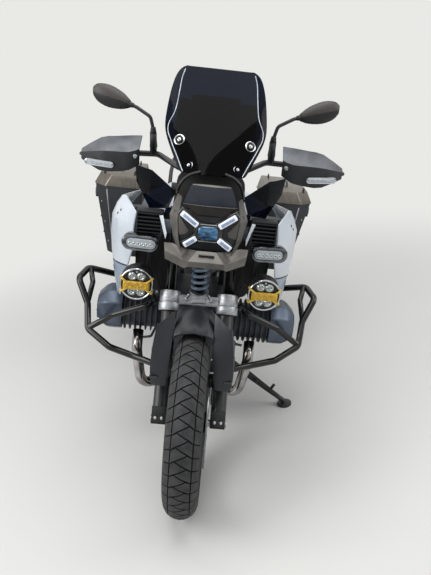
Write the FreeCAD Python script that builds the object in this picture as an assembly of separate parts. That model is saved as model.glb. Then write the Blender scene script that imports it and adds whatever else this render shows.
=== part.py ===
import FreeCAD
import Part
import math
import os

# Adventure motorcycle with a flat-twin engine, parked on its side stand.
# Bike frame, before the lean: X to the bike's left, Y to the rear from the front axle, Z up.
V = FreeCAD.Vector

# Driving sizes, mm and degrees
WHEELBASE = 1534.0
RAKE = 26.2
TRAIL = 118.8
LEAN = 14.0
STEER_REST = -4.0
STEER_LOCK = 35.0

FRONT_TYRE_R = 325.3
FRONT_TYRE_HALF = 60.0
FRONT_RIM_R = 241.3
FRONT_RIM_HALF = 38.0
REAR_TYRE_R = 317.9
REAR_TYRE_HALF = 85.0
REAR_CROWN_R = 90.0
REAR_RIM_R = 215.9
REAR_RIM_HALF = 57.0
RIM_WALL = 12.0
RIM_FLANGE = 5.0
RIM_LIP = 9.0
FIT_GAP = 0.3

SPOKE_R = 2.6
SPOKE_PAIRS = 20
HUB_R = 30.0
HUB_FLANGE_R = 55.0
HUB_FLANGE_X = 36.0
HUB_FLANGE_T = 14.0
SPOKE_SHIFT = 3.2
FRONT_HUB_HALF = 63.0
AXLE_R = 12.5
AXLE_BORE_R = 8.0
AXLE_HALF = 134.0
DISC_T = 5.0
FRONT_DISC_R = 155.0
DISC_BAND = 34.0

LEG_X = 103.0
SLIDER_R = 27.0
FORK_TUBE_R = 20.5
SLIDER_TOP = 800.0
FORK_TOP = 1192.0
YOKE_BOTTOM = 1160.0
YOKE_T = 30.0
COLLAR_WALL = 8.5
COLLAR_H = 58.0
BALL_PIN_R = 12.0
STEM_R = 15.0
STEM_LENGTH = 52.0
BAR_R = 11.0
GRIP_R = 17.0

PANEL_T = 4.0
SCREEN_T = 4.0
CASE_WALL = 3.0
CASE_INNER_X = 300.0
CASE_FRONT_BACK = 474.0
CASE_LENGTH = 420.0
CASE_FLOOR_Z = 560.0
CASE_RIM_Z = 905.0
CASE_TOP_WIDTH = 235.0
CASE_FLOOR_WIDTH = 165.0
LID_H = 55.0
LID_GAP = 0.5
HINGE_R = 5.0

CRASH_R = 13.5
STAND_R = 11.0
STAND_PAD_R = 32.0
STAND_PIVOT = V(174, 600, 270)
STAND_FOOT_X = 440.0
STAND_FOOT_Y = 520.0

# Directions and centres that follow from the driving sizes
X_AXIS = V(1, 0, 0)
RAKE_RAD = math.radians(RAKE)
STEER_FOOT = V(0, -TRAIL, 0)
STEER_UP = V(0, math.sin(RAKE_RAD), math.cos(RAKE_RAD))
STEER_FRAME = FreeCAD.Placement(STEER_FOOT, FreeCAD.Rotation(X_AXIS, -RAKE))
FRONT_AXLE = V(0, 0, FRONT_TYRE_R)
AXLE_H = TRAIL * math.sin(RAKE_RAD) + FRONT_TYRE_R * math.cos(RAKE_RAD)
FORK_OFFSET = FRONT_TYRE_R * math.sin(RAKE_RAD) - TRAIL * math.cos(RAKE_RAD)
REAR_AXLE = V(0, WHEELBASE, REAR_TYRE_R)
CASE_FRONT_Y = REAR_AXLE.y - CASE_FRONT_BACK
STEERED = FreeCAD.Placement(STEER_FOOT, FreeCAD.Rotation(STEER_UP, STEER_REST)).multiply(
    FreeCAD.Placement(STEER_FOOT * -1, FreeCAD.Rotation()))
LEANED = FreeCAD.Placement(V(0, 0, 0), FreeCAD.Rotation(V(0, 1, 0), LEAN))


def lowest_point(place, axle, radius, crown):
    """Lowest point of a round-crowned tyre once its wheel is placed."""
    hub = place.multVec(axle)
    spin = place.Rotation.multVec(X_AXIS)
    return hub.z - (radius - crown) * math.sqrt(1 - spin.z ** 2) - crown


FRONT_LOW = lowest_point(LEANED.multiply(STEERED), FRONT_AXLE, FRONT_TYRE_R, FRONT_TYRE_HALF)
REAR_LOW = lowest_point(LEANED, REAR_AXLE, REAR_TYRE_R, REAR_CROWN_R)
NOSE_DOWN = math.degrees(math.asin((FRONT_LOW - REAR_LOW) / WHEELBASE))
PARKED = FreeCAD.Placement(V(0, 0, -FRONT_LOW), FreeCAD.Rotation(X_AXIS, NOSE_DOWN)).multiply(LEANED)


def eased(rows, steps):
    """Rows of numbers, with rows on a smooth curve through them added between each two."""
    last = len(rows) - 1
    result = []
    for index in range(last):
        four = zip(rows[max(index - 1, 0)], rows[index], rows[index + 1], rows[min(index + 2, last)])
        four = list(four)
        for step in range(steps):
            t = step / steps
            result.append([0.5 * (2 * b + (c - a) * t + (2 * a - 5 * b + 4 * c - d) * t ** 2
                                  + (3 * b - a - 3 * c + d) * t ** 3) for a, b, c, d in four])
    result.append(list(rows[last]))
    return result


def solid_of(shape):
    """The shape as one valid, outward solid."""
    if shape.ShapeType == "Compound" and len(shape.Solids) == 1:
        shape = shape.Solids[0]
    if shape.Volume < 0:
        shape.reverse()
    return shape


def fused(first, *others):
    return solid_of(first.fuse(list(others)).removeSplitter())


def both(shape):
    """The shape and its mirror image across the bike's middle plane, as two solids."""
    return Part.makeCompound([shape, flipped(shape)])


def flipped(shape):
    return shape.mirror(V(0, 0, 0), X_AXIS)


def block(x0, x1, y0, y1, z0, z1):
    return Part.makeBox(x1 - x0, y1 - y0, z1 - z0, V(x0, y0, z0))


def rod(start, end, radius):
    along = end - start
    return Part.makeCylinder(radius, along.Length, start, along)


def ring(start, end, outer, inner):
    return rod(start, end, outer).cut(rod(start, end, inner))


def rounded(points, radius, closed=False):
    """A wire through the points, each corner turned by a tangent arc."""
    count = len(points)
    stops = []
    for index, corner in enumerate(points):
        if not closed and index in (0, count - 1):
            stops.append((corner, None, corner))
            continue
        before = points[index - 1] - corner
        after = points[(index + 1) % count] - corner
        half = before.getAngle(after) / 2
        reach = min(radius / math.tan(half), 0.45 * before.Length, 0.45 * after.Length)
        if math.pi / 2 - half < 0.01:
            stops.append((corner, None, corner))
            continue
        before.normalize()
        after.normalize()
        turn = reach * math.tan(half)
        inward = (before + after).normalize()
        middle = corner + inward * (turn / math.sin(half) - turn)
        stops.append((corner + before * reach, middle, corner + after * reach))
    edges = []
    for index, (start, middle, end) in enumerate(stops):
        if middle is not None:
            edges.append(Part.Arc(start, middle, end).toShape())
        if index < count - 1 or closed:
            follow = stops[(index + 1) % count][0]
            if (follow - end).Length > 1e-6:
                edges.append(Part.LineSegment(end, follow).toShape())
    return Part.Wire(edges)


def tube(points, radius, bend):
    """A round bar bent along the points."""
    spine = rounded(points, bend)
    section = Part.Wire(Part.makeCircle(radius, points[0], points[1] - points[0]))
    return solid_of(spine.makePipeShell([section], True, True))


def prism(outline, push, corner=0.0):
    """A flat closed outline pushed along a vector."""
    wire = rounded(outline, corner, True) if corner else Part.makePolygon(outline + outline[:1])
    return solid_of(Part.Face(wire).extrude(push))


def loft(sections, corner=0.0):
    """Straight-sided solid through closed sections with as many points each."""
    if corner:
        wires = [rounded(section, corner, True) for section in sections]
    else:
        wires = [Part.makePolygon(section + section[:1]) for section in sections]
    return solid_of(Part.makeLoft(wires, True, True))


def turned(profile, centre):
    """A (radius, x) outline turned about the X axis through a centre."""
    points = [V(x, 0, radius) for radius, x in profile]
    wire = Part.makePolygon(points + points[:1])
    solid = solid_of(Part.Face(wire).revolve(V(0, 0, 0), X_AXIS, 360))
    return solid.translated(centre)


def side_profile(x0, x1, outline, corner=0.0):
    """A (y, z) outline pushed across the bike from x0 to x1."""
    return prism([V(x0, y, z) for y, z in outline], V(x1 - x0, 0, 0), corner)


def steered(shape):
    """A shape drawn along the steering axis, set at the rake."""
    shape = shape.copy()
    shape.Placement = STEER_FRAME.multiply(shape.Placement)
    return shape


def make_tyre(centre, radius, half, crown, rim_r, rim_half):
    """Road tyre: crown arc, sidewalls, and beads between the rim's flanges."""
    bead = rim_half - FIT_GAP
    edge_drop = crown - math.sqrt(crown ** 2 - half ** 2)
    shoulder_r = radius - edge_drop
    lip_r = rim_r + RIM_LIP + 2.5
    corners = [V(-half, 0, shoulder_r), V(-(rim_half + 12), 0, lip_r + 4), V(-bead, 0, lip_r),
               V(-bead, 0, rim_r + FIT_GAP), V(bead, 0, rim_r + FIT_GAP), V(bead, 0, lip_r),
               V(rim_half + 12, 0, lip_r + 4), V(half, 0, shoulder_r)]
    edges = [Part.LineSegment(a, b).toShape() for a, b in zip(corners, corners[1:])]
    edges.append(Part.Arc(corners[-1], V(0, 0, radius), corners[0]).toShape())
    solid = Part.Face(Part.Wire(edges)).revolve(V(0, 0, 0), X_AXIS, 360)
    return solid_of(solid).translated(centre)


def make_rim(centre, rim_r, rim_half, hub_left, hub_right, bore_r):
    """Rim ring, hub and crossed wire spokes, one welded-looking wheel."""
    out = rim_half + RIM_FLANGE
    lip = rim_r + RIM_LIP
    well = rim_r - RIM_WALL
    wheel = turned([(well, -out), (lip, -out), (lip, -rim_half), (rim_r, -rim_half), (rim_r, rim_half),
                    (lip, rim_half), (lip, out), (well, out)], centre)
    hub = turned([(bore_r, -hub_left), (HUB_R + 8, -hub_left), (HUB_R + 8, hub_right), (bore_r, hub_right)],
                 centre)
    parts = [hub]
    for side in (-1, 1):
        near = side * HUB_FLANGE_X - HUB_FLANGE_T / 2
        far = side * HUB_FLANGE_X + HUB_FLANGE_T / 2
        parts.append(turned([(bore_r, near), (HUB_FLANGE_R, near), (HUB_FLANGE_R, far), (bore_r, far)], centre))
    step = 360.0 / SPOKE_PAIRS
    for pair in range(SPOKE_PAIRS):
        side = 1 if pair % 2 else -1
        for lean in (-1, 1):
            rim_angle = math.radians(step * (pair + 0.22 * lean))
            hub_angle = rim_angle + math.radians(38.0 * lean)
            shift = lean * SPOKE_SHIFT
            inner = V(side * HUB_FLANGE_X + shift, (HUB_FLANGE_R - 5) * math.sin(hub_angle),
                      (HUB_FLANGE_R - 5) * math.cos(hub_angle))
            end_r = well + 3
            outer = V(side * (out - 9) + shift, end_r * math.sin(rim_angle), end_r * math.cos(rim_angle))
            parts.append(rod(centre + inner, centre + outer, SPOKE_R))
    return fused(wheel, *parts)


def make_disc(centre, x0, outer, hub_r):
    """Brake disc on a five-armed carrier, its inner face at x0."""
    disc = ring(V(x0, 0, 0), V(x0 + DISC_T, 0, 0), outer, outer - DISC_BAND)
    arms = [ring(V(x0, 0, 0), V(x0 + DISC_T, 0, 0), hub_r + 22, hub_r)]
    for index in range(5):
        arm = block(x0, x0 + DISC_T, -11, 11, hub_r + 10, outer - DISC_BAND + 4)
        arm.rotate(V(0, 0, 0), X_AXIS, 72 * index)
        arms.append(arm)
    return fused(disc, *arms).translated(centre)


def make_front_wheel():
    tyre = make_tyre(FRONT_AXLE, FRONT_TYRE_R, FRONT_TYRE_HALF, FRONT_TYRE_HALF, FRONT_RIM_R, FRONT_RIM_HALF)
    rim = make_rim(FRONT_AXLE, FRONT_RIM_R, FRONT_RIM_HALF, FRONT_HUB_HALF, FRONT_HUB_HALF,
                   AXLE_R + FIT_GAP)
    disc = make_disc(FRONT_AXLE, FRONT_HUB_HALF, FRONT_DISC_R, AXLE_R + 8)
    return {"front_tyre": tyre, "front_rim": rim, "front_discs": both(disc)}


REAR_HUB_LEFT = 66.0
REAR_HUB_RIGHT = 45.0
REAR_SPINDLE_R = 30.0
REAR_SPINDLE_BORE_R = 22.0
REAR_DISC_R = 140.0
DRIVE_X = REAR_HUB_LEFT + DISC_T + 5.0
DRIVE_R = 92.0


def make_rear_wheel():
    tyre = make_tyre(REAR_AXLE, REAR_TYRE_R, REAR_TYRE_HALF, REAR_CROWN_R, REAR_RIM_R, REAR_RIM_HALF)
    rim = make_rim(REAR_AXLE, REAR_RIM_R, REAR_RIM_HALF, REAR_HUB_RIGHT, REAR_HUB_LEFT,
                   REAR_SPINDLE_R + FIT_GAP)
    disc = make_disc(REAR_AXLE, REAR_HUB_LEFT, REAR_DISC_R, REAR_SPINDLE_R + 1)
    return {"rear_tyre": tyre, "rear_rim": rim, "rear_disc": disc}


def make_fork():
    """Sliders with axle feet, fork tubes, the aluminium bridge, and the hollow axle."""
    back = -FORK_OFFSET
    slider = rod(V(LEG_X, back, AXLE_H - 42), V(LEG_X, back, SLIDER_TOP), SLIDER_R)
    foot = block(LEG_X - SLIDER_R + 1, LEG_X + SLIDER_R - 1, back - 33, back + 33, AXLE_H - 48, AXLE_H + 46)
    axle_hole = rod(V(0, back, AXLE_H), V(2 * AXLE_HALF, back, AXLE_H), AXLE_R + FIT_GAP)
    slider = solid_of(fused(slider, foot).cut(axle_hole))
    upper = rod(V(LEG_X, back, SLIDER_TOP), V(LEG_X, back, FORK_TOP), FORK_TUBE_R)

    collar_r = SLIDER_R + COLLAR_WALL
    low = SLIDER_TOP - COLLAR_H
    parts = []
    for side in (-1, 1):
        parts.append(rod(V(side * LEG_X, back, low), V(side * LEG_X, back, SLIDER_TOP), collar_r))
    web = block(-LEG_X + 20, LEG_X - 20, back - 16, back + 14, low + 12, SLIDER_TOP - 12)
    lug = block(-22, 22, back, 20, low + 4, low + 36)
    pin = rod(V(0, 0, low - 42), V(0, 0, low + 6), BALL_PIN_R)
    bridge = fused(web, lug, pin, *parts)
    for side in (-1, 1):
        bridge = bridge.cut(rod(V(side * LEG_X, back, low - 1), V(side * LEG_X, back, SLIDER_TOP + 1),
                                SLIDER_R + FIT_GAP))
    axle = ring(V(-AXLE_HALF, back, AXLE_H), V(AXLE_HALF, back, AXLE_H), AXLE_R, AXLE_BORE_R)
    return {"fork_sliders": steered(both(slider)), "fork_tubes": steered(both(upper)),
            "fork_bridge": steered(solid_of(bridge)), "front_axle": steered(axle)}


HOSE_R = 3.2


def make_brake_hoses():
    """Brake hoses held along the fork: from each caliper to the bridge, and from there up to the yoke."""
    back = -FORK_OFFSET
    caliper_top = AXLE_H + FRONT_DISC_R + 12 + FIT_GAP
    low = SLIDER_TOP - COLLAR_H - FIT_GAP
    hoses = [tube([V(LEG_X - 22, back + 22, low), V(LEG_X - 22, back + 24, low - 60),
                   V(LEG_X - 18, 44, caliper_top + 50), V(LEG_X - 18, 44, caliper_top)], HOSE_R, 40)]
    inner = LEG_X - 14
    front = back - 20
    hoses.append(tube([V(inner - 3, front - 3, SLIDER_TOP + FIT_GAP), V(inner - 2, front - 2, SLIDER_TOP + 80),
                       V(inner, front, SLIDER_TOP + 200), V(inner, front, YOKE_BOTTOM - FIT_GAP)], HOSE_R, 60))
    return {"brake_hoses": steered(Part.makeCompound(hoses + [flipped(hose) for hose in hoses]))}


def make_calipers():
    """Radial four-piston calipers, straddling each disc behind its slider."""
    disc_x = FRONT_HUB_HALF + DISC_T / 2
    reach = FRONT_DISC_R - 6
    body = block(disc_x - 15, LEG_X + 6, 0, 46, 0, 110)
    slot = block(disc_x - 6, disc_x + 6, -1, 47, -60, 112).translated(V(0, -14, 0))
    caliper = body.cut(slot).translated(V(0, -FORK_OFFSET + SLIDER_R + FIT_GAP + 34, AXLE_H + reach - 92))
    arm = block(LEG_X - 14, LEG_X + 6, -FORK_OFFSET + SLIDER_R + 0.6, -FORK_OFFSET + SLIDER_R + 36,
                AXLE_H + reach - 60, AXLE_H + reach - 20)
    caliper = fused(caliper, arm)
    disc_room = turned([(0, -FRONT_HUB_HALF - DISC_T - 4), (FRONT_DISC_R + 3, -FRONT_HUB_HALF - DISC_T - 4),
                        (FRONT_DISC_R + 3, FRONT_HUB_HALF + DISC_T + 4), (0, FRONT_HUB_HALF + DISC_T + 4)],
                       V(0, -FORK_OFFSET, AXLE_H))
    caliper = caliper.cut(disc_room)
    return {"brake_calipers": steered(both(solid_of(caliper)))}


BAR_H = YOKE_BOTTOM + 102


def bar_tube(extra=0.0):
    """The bent handlebar alone, with room added all round."""
    half = [V(110, 0, BAR_H), V(205, 32, 1322), V(345, 86, 1334), V(482, 101, 1330)]
    path = [V(-p.x, p.y, p.z) for p in reversed(half)] + half
    return tube(path, BAR_R + extra, 60)


def make_handlebar():
    """Upper yoke with its bearing stem, risers, bar, grips, controls and levers."""
    yoke = block(-LEG_X - 30, LEG_X + 30, -FORK_OFFSET - 30, 26, YOKE_BOTTOM, YOKE_BOTTOM + YOKE_T)
    stem = rod(V(0, 0, YOKE_BOTTOM - STEM_LENGTH), V(0, 0, YOKE_BOTTOM + 5), STEM_R)
    parts = [stem, bar_tube()]
    for side in (-1, 1):
        parts.append(block(side * 45 - 16, side * 45 + 16, -20, 20, YOKE_BOTTOM + YOKE_T - 5, BAR_H + 8))
    for side in (-1, 1):
        grip = [V(side * 362, 88, 1333.6), V(side * 478, 100.6, 1330.2)]
        parts.append(rod(grip[0], grip[1], GRIP_R))
        parts.append(block(side * 320 - 28, side * 320 + 28, 48, 102, 1312, 1352))
        lever = [V(side * 300, 40, 1336), V(side * 345, 18, 1334), V(side * 400, 34, 1331),
                 V(side * 470, 46, 1328)]
        parts.append(tube(lever, 6.5, 30))
        parts.append(block(side * 305 - 22, side * 305 + 22, 28, 66, 1322, 1350))
    bar = fused(yoke, *parts)
    for side in (-1, 1):
        bar = bar.cut(rod(V(side * LEG_X, -FORK_OFFSET, YOKE_BOTTOM - 1),
                          V(side * LEG_X, -FORK_OFFSET, YOKE_BOTTOM + YOKE_T + 1), FORK_TUBE_R + FIT_GAP))
    return {"handlebar": steered(solid_of(bar))}


def make_hand_guards():
    """Bent plastic shells ahead of the grips, tied to the bar ends."""
    # x, top y and z, crease y and z, bottom y and z
    rows = [(262, 462, 1240, 402, 1198, 406, 1142), (300, 458, 1238, 392, 1186, 400, 1119),
            (360, 459, 1231, 395, 1184, 405, 1108), (415, 462, 1222, 404, 1180, 414, 1108),
            (496, 492, 1172, 476, 1160, 480, 1134)]
    sections = []
    for x, top_y, top_z, crease_y, crease_z, low_y, low_z in eased(rows, 2):
        outer = [V(x, top_y, top_z), V(x, crease_y, crease_z), V(x, low_y, low_z)]
        inner = [V(x, low_y + PANEL_T, low_z), V(x, crease_y + PANEL_T, crease_z - 2),
                 V(x, top_y + 2, top_z - PANEL_T)]
        sections.append(outer + inner)
    shell = loft(sections)
    arm = tube([V(482.6, 559, 1149), V(506, 559, 1149), V(503, 500, 1150), V(488, 482, 1150)], 6, 12)
    guard = solid_of(fused(shell, arm).cut(make_handlebar()["handlebar"]))
    return {"hand_guards": both(guard)}


def make_mirrors():
    """Leaf-shaped housings on curved stalks with rubber boots."""
    # x, y, z of the leaf's middle, half height, half depth
    rows = [(312, 484, 1346, 12, 9), (345, 488, 1356, 30, 20), (395, 494, 1369, 40, 24),
            (435, 498, 1378, 32, 18), (454, 500, 1383, 14, 8)]
    sections = []
    for x, y, z, up, deep in eased(rows, 3):
        sections.append([V(x, y - deep, z), V(x, y - deep * 0.8, z + up * 0.6), V(x, y - deep * 0.3, z + up),
                         V(x, y + deep, z + up * 0.95), V(x, y + deep, z - up * 0.95),
                         V(x, y - deep * 0.3, z - up), V(x, y - deep * 0.8, z - up * 0.6)])
    leaf = loft(sections)
    stalk = tube([V(224, 483, 1196), V(224, 478, 1262), V(236, 476, 1308), V(290, 480, 1338),
                  V(320, 484, 1348)], 6.5, 24)
    boot = rod(V(224, 500, 1172), V(224, 479, 1250), 13)
    mirror = fused(leaf, stalk, boot).cut(steered(bar_tube(FIT_GAP)))
    return {"mirrors": both(solid_of(mirror.Solids[0]))}


def make_front_fender():
    """Domed guard over the tyre, and a shield in front of each fork leg."""
    # y, top z, half width, side z
    rows = [(-14, 676, 70, 640), (60, 728, 72, 652), (105, 722, 72, 655), (150, 640, 70, 612),
            (235, 585, 66, 560)]
    sections = []
    for y, top, half, side in eased(rows, 2):
        shoulder = side + (top - side) * 0.62
        outer = [V(half, y, side), V(half * 0.93, y, shoulder), V(half * 0.62, y, top - 7), V(0, y, top)]
        outer = outer + [V(-point.x, point.y, point.z) for point in reversed(outer[:-1])]
        inner = [V(point.x * (1 - PANEL_T / half), y, point.z - (0 if point.z == side else PANEL_T))
                 for point in reversed(outer)]
        sections.append(outer + inner)
    dome = loft(sections)
    front = -FORK_OFFSET - SLIDER_R - 6
    shield = prism([V(90, front, 652), V(143, front, 640), V(144, front, 500), V(122, front, 470),
                    V(106, front, 520)], V(0, -PANEL_T, 0))
    cheek = prism([V(143, front - PANEL_T, 640), V(144, front - PANEL_T, 500), V(139, front - PANEL_T, 498),
                   V(138, front - PANEL_T, 640)], V(0, 44, 0))
    strap = block(66, 100, front - PANEL_T, front, 636, 702)
    boss = rod(V(LEG_X, front - 1, 600), V(LEG_X, front + 6 - FIT_GAP, 600), 9)
    shield = steered(fused(shield, cheek, strap, boss))
    return {"front_fender": fused(dome, shield, flipped(shield))}


def make_front_suspension():
    """Longitudinal control arm and the coil-over behind the fork bridge."""
    low = SLIDER_TOP - COLLAR_H
    ball = STEER_FOOT + STEER_UP * (low - 22)
    eye = steered(ring(V(0, 0, low - 36), V(0, 0, low - 8), 26, BALL_PIN_R + FIT_GAP))
    parts = []
    for side in (-1, 1):
        parts.append(tube([ball + V(side * 16, 14, 0), V(side * 70, 330, 636), V(side * 112, 468, 600)], 14, 60))
        parts.append(rod(V(side * 88, 470, 600), V(side * 136, 470, 600), 20))
    cross = rod(V(-74, 345, 632), V(74, 345, 632), 13)
    arm = fused(eye, cross, *parts)
    arm = arm.cut(steered(rod(V(0, 0, low - 50), V(0, 0, low), BALL_PIN_R + FIT_GAP)))

    foot = V(0, 345, 632 + 13 + FIT_GAP + 12)
    head = V(0, 318, 940)
    along = (head - foot).normalize()
    damper = rod(foot, head, 15)
    parts = [rod(foot + along * 20, foot + along * 30, 37), rod(head - along * 42, head - along * 30, 37)]
    parts.append(rod(V(-14, foot.y, foot.z), V(14, foot.y, foot.z), 12))
    turns = 8
    pitch = (head - foot).Length - 42 - 30
    for index in range(turns):
        spot = foot + along * (34 + (pitch - 4) * (index + 0.5) / turns)
        parts.append(Part.makeTorus(29, 6, spot, along))
        parts.append(rod(spot - along * 2, spot + along * 2, 26))
    shock = fused(damper, *parts)
    return {"front_control_arm": solid_of(arm), "front_shock": shock}


def frame_beams(extra):
    """Spine and front tubes of both sides, with room added all round."""
    beams = []
    for side in (-1, 1):
        beams.append(tube([V(side * 22, 398, 985), V(side * 72, 452, 806), V(side * 112, 560, 722),
                           V(side * 126, 700, 690), V(side * 78, 888, 590), V(side * 74, 904, 330)], 18 + extra, 60))
        beams.append(tube([V(side * 72, 452, 806), V(side * 116, 480, 730), V(side * 120, 470, 640)],
                          15 + extra, 40))
    return beams


ENGINE_TOP = 590.0


def make_frame():
    """Steel shell frame: head block, spine beams, pivot plates, and the front carrier arm."""
    head_top = YOKE_BOTTOM - 5
    head = block(-36, 36, -38, 44, head_top - 56, head_top)
    head = steered(head)
    beams = frame_beams(0)
    for side in (-1, 1):
        beams.append(rod(V(side * 105, 470, 642), V(side * 134, 470, 642), 20))
    arm = block(-30, 30, 215, 372, 985, 1035)
    bridge = block(-128, 128, 690, 716, 688, 712)
    for side in (-1, 1):
        beams.append(block(side * 104 - 12, side * 104 + 12, 690, 724, ENGINE_TOP, 700))
    shock_top = block(-30, 30, 290, 392, 948, 976)
    pivot = rod(V(-92, 900, 400), V(158, 900, 400), 20)
    frame = fused(head, arm, bridge, shock_top, pivot, *beams)
    stem_hole = steered(rod(V(0, 0, 900), V(0, 0, YOKE_BOTTOM), STEM_R + FIT_GAP))
    frame = solid_of(frame.cut(stem_hole))
    return {"main_frame": frame}


RAIL_R = 14.0
CROSS_R = 11.0
# x, y, z of the seat rail's corners
RAIL = [(108, 740, 736), (112, 1000, 798), (112, 1250, 842), (100, REAR_AXLE.y + 26, 915)]
# Places of the cross tubes along the bike
CROSS_Y = [800, 1130, REAR_AXLE.y + 6]


def rail_middle(y):
    """Height of the seat rails' middle at a place along the bike, and how they climb there."""
    for (_, y0, z0), (_, y1, z1) in zip(RAIL, RAIL[1:]):
        if y0 <= y <= y1:
            slope = (z1 - z0) / (y1 - y0)
            return z0 + slope * (y - y0), slope
    return None


def rail_top(y):
    middle, slope = rail_middle(y)
    return middle + RAIL_R * math.sqrt(1 + slope ** 2)


def make_rear_frame():
    """Bolt-on tail frame under the seats."""
    parts = []
    for side in (-1, 1):
        parts.append(tube([V(side * x, y, z) for x, y, z in RAIL], RAIL_R, 80))
        parts.append(tube([V(side * 84, 900, 566), V(side * 118, 1100, 712), V(side * 112, 1250, 842)], 12, 60))
        parts.append(rod(V(side * 108, 760, 740), V(side * 118, 742, 672), 12))
    for y in CROSS_Y:
        z = rail_middle(y)[0]
        parts.append(rod(V(-110, y, z), V(110, y, z), CROSS_R))
    return {"rear_frame": solid_of(fused(*parts).cut(make_frame()["main_frame"]))}


ENGINE_HALF = 140.0
BARREL_OUT = 300.0
COVER_OUT = 404.0
BOXER_STAGGER = 26.0
BARREL_Z = 522.0
BARREL_Y = 492.0
BARREL_R = 72.0
FIN_R = 88.0
FIN_COUNT = 7
FIN_T = 5.0


def make_engine():
    """Flat twin: a plain block, finned barrels, and rounded head covers."""
    block_outline = [(400, 300), (470, 236), (800, 236), (862, 330), (862, 500), (800, ENGINE_TOP),
                     (520, ENGINE_TOP), (420, 560)]
    engine = side_profile(-ENGINE_HALF, ENGINE_HALF, block_outline, 18)
    engine = engine.cut(rod(V(-200, 900, 400), V(200, 900, 400), 62))
    barrels = []
    covers = []
    for side in (-1, 1):
        y = BARREL_Y - side * BOXER_STAGGER / 2
        barrel = rod(V(side * ENGINE_HALF, y, BARREL_Z), V(side * BARREL_OUT, y, BARREL_Z), BARREL_R)
        fins = []
        room = BARREL_OUT - ENGINE_HALF - 30
        for index in range(FIN_COUNT):
            x = side * (ENGINE_HALF + 18 + room * index / (FIN_COUNT - 1))
            fins.append(rod(V(x, y, BARREL_Z), V(x + side * FIN_T, y, BARREL_Z), FIN_R))
        barrels.append(fused(barrel, *fins))
        x_in = side * BARREL_OUT
        x_mid = side * (BARREL_OUT + 60)
        x_out = side * COVER_OUT
        # x, half length, half height
        rows = [(x_in, 90, 88), (x_mid, 90, 88), (x_out - side * 14, 70, 68), (x_out, 58, 54)]
        sections = []
        for x, deep, tall in eased(rows, 2):
            sections.append([V(x, y - deep, BARREL_Z - tall * 0.55), V(x, y - deep, BARREL_Z + tall * 0.6),
                             V(x, y - deep * 0.5, BARREL_Z + tall), V(x, y + deep * 0.5, BARREL_Z + tall),
                             V(x, y + deep, BARREL_Z + tall * 0.6), V(x, y + deep, BARREL_Z - tall * 0.55),
                             V(x, y + deep * 0.6, BARREL_Z - tall * 0.8),
                             V(x, y - deep * 0.6, BARREL_Z - tall * 0.8)])
        covers.append(loft(sections, 14))
    return {"engine_block": engine, "cylinders": Part.makeCompound(barrels),
            "head_covers": Part.makeCompound(covers)}


HEADER_R = 22.0
CAN_TAIL = V(-268, 1400, 500)
# Corners of the silencer's eight-sided section, as shares of its half width and half height
CAN_CORNERS = [(-1, -0.55), (-0.55, -1), (0.55, -1), (1, -0.55), (1, 0.55), (0.55, 1), (-0.55, 1), (-1, 0.55)]


def make_exhaust():
    """Chrome headers from the barrels' undersides, a collector, and the silencer on the right."""
    parts = []
    for side in (-1, 1):
        y = BARREL_Y - side * BOXER_STAGGER / 2
        pipe = tube([V(side * 232, y - 30, BARREL_Z - 50), V(side * 232, y - 72, 370),
                     V(side * 205, y - 70, 205), V(side * 90, 520, 196), V(side * 60, 640, 196)],
                    HEADER_R, 60)
        fin_room = rod(V(side * 180, y, BARREL_Z), V(side * 290, y, BARREL_Z), FIN_R + FIT_GAP)
        parts.append(solid_of(pipe.cut(fin_room)))
    box = loft([[V(-110, 600, 172), V(110, 600, 172), V(110, 600, 226), V(-110, 600, 226)],
                [V(-110, 800, 172), V(110, 800, 172), V(110, 800, 226), V(-110, 800, 226)]], 20)
    link = tube([V(-60, 780, 200), V(-80, 880, 204), V(-190, 985, 262), V(-214, 1040, 330)], HEADER_R, 70)
    headers = fused(box, link, *parts)
    along = (CAN_TAIL - V(-214, 1040, 330)).normalize()
    seat = V(-214, 1040, 330) + along * 1
    side = V(0, 0, 1).cross(along).normalize()
    up = along.cross(side).normalize()
    sections = []
    for distance, wide, tall in ((0.5, 26, 26), (50, 52, 62), (330, 56, 68), (372, 44, 52)):
        spot = seat + along * distance
        ring_points = []
        for a, b in CAN_CORNERS:
            ring_points.append(spot + side * (a * wide) + up * (b * tall))
        sections.append(ring_points)
    can = loft(sections, 12)
    outlet = rod(seat + along * 300, seat + along * 400, 16)
    can = can.cut(outlet)
    headers = headers.cut(can)
    return {"exhaust_headers": solid_of(headers), "silencer": solid_of(can)}


def make_skid_plate():
    """Bent aluminium guard under the engine, open at the sides for the headers."""
    outline = [(356, 330), (352, 300), (392, 168), (430, 142), (800, 142), (800, 148), (434, 148), (399, 171),
               (359, 302), (362, 330)]
    plate = side_profile(-120, 120, outline)
    lug = block(-40, 40, 360, 400 - FIT_GAP, 300, 312)
    plate = fused(plate, lug)
    return {"skid_plate": plate}


def make_tank():
    """Steel tank behind the steering head."""
    # y, bottom half width, top half width, bottom z, shoulder z, top z
    rows = [(480, 185, 110, 800, 926, 960), (560, 262, 150, 770, 985, 1052), (690, 250, 150, 760, 975, 1052),
            (800, 190, 110, 775, 930, 985), (862, 120, 80, 800, 890, 920)]
    sections = []
    for y, wide, top_wide, low, shoulder, top in eased(rows, 2):
        sections.append([V(-wide * 0.8, y, low), V(wide * 0.8, y, low), V(wide, y, shoulder - 50),
                         V(wide * 0.92, y, shoulder), V(top_wide * 0.7, y, top), V(-top_wide * 0.7, y, top),
                         V(-wide * 0.92, y, shoulder), V(-wide, y, shoulder - 50)])
    return {"fuel_tank": solid_of(loft(sections, 22).cut(Part.makeCompound(frame_beams(FIT_GAP))))}


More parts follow.
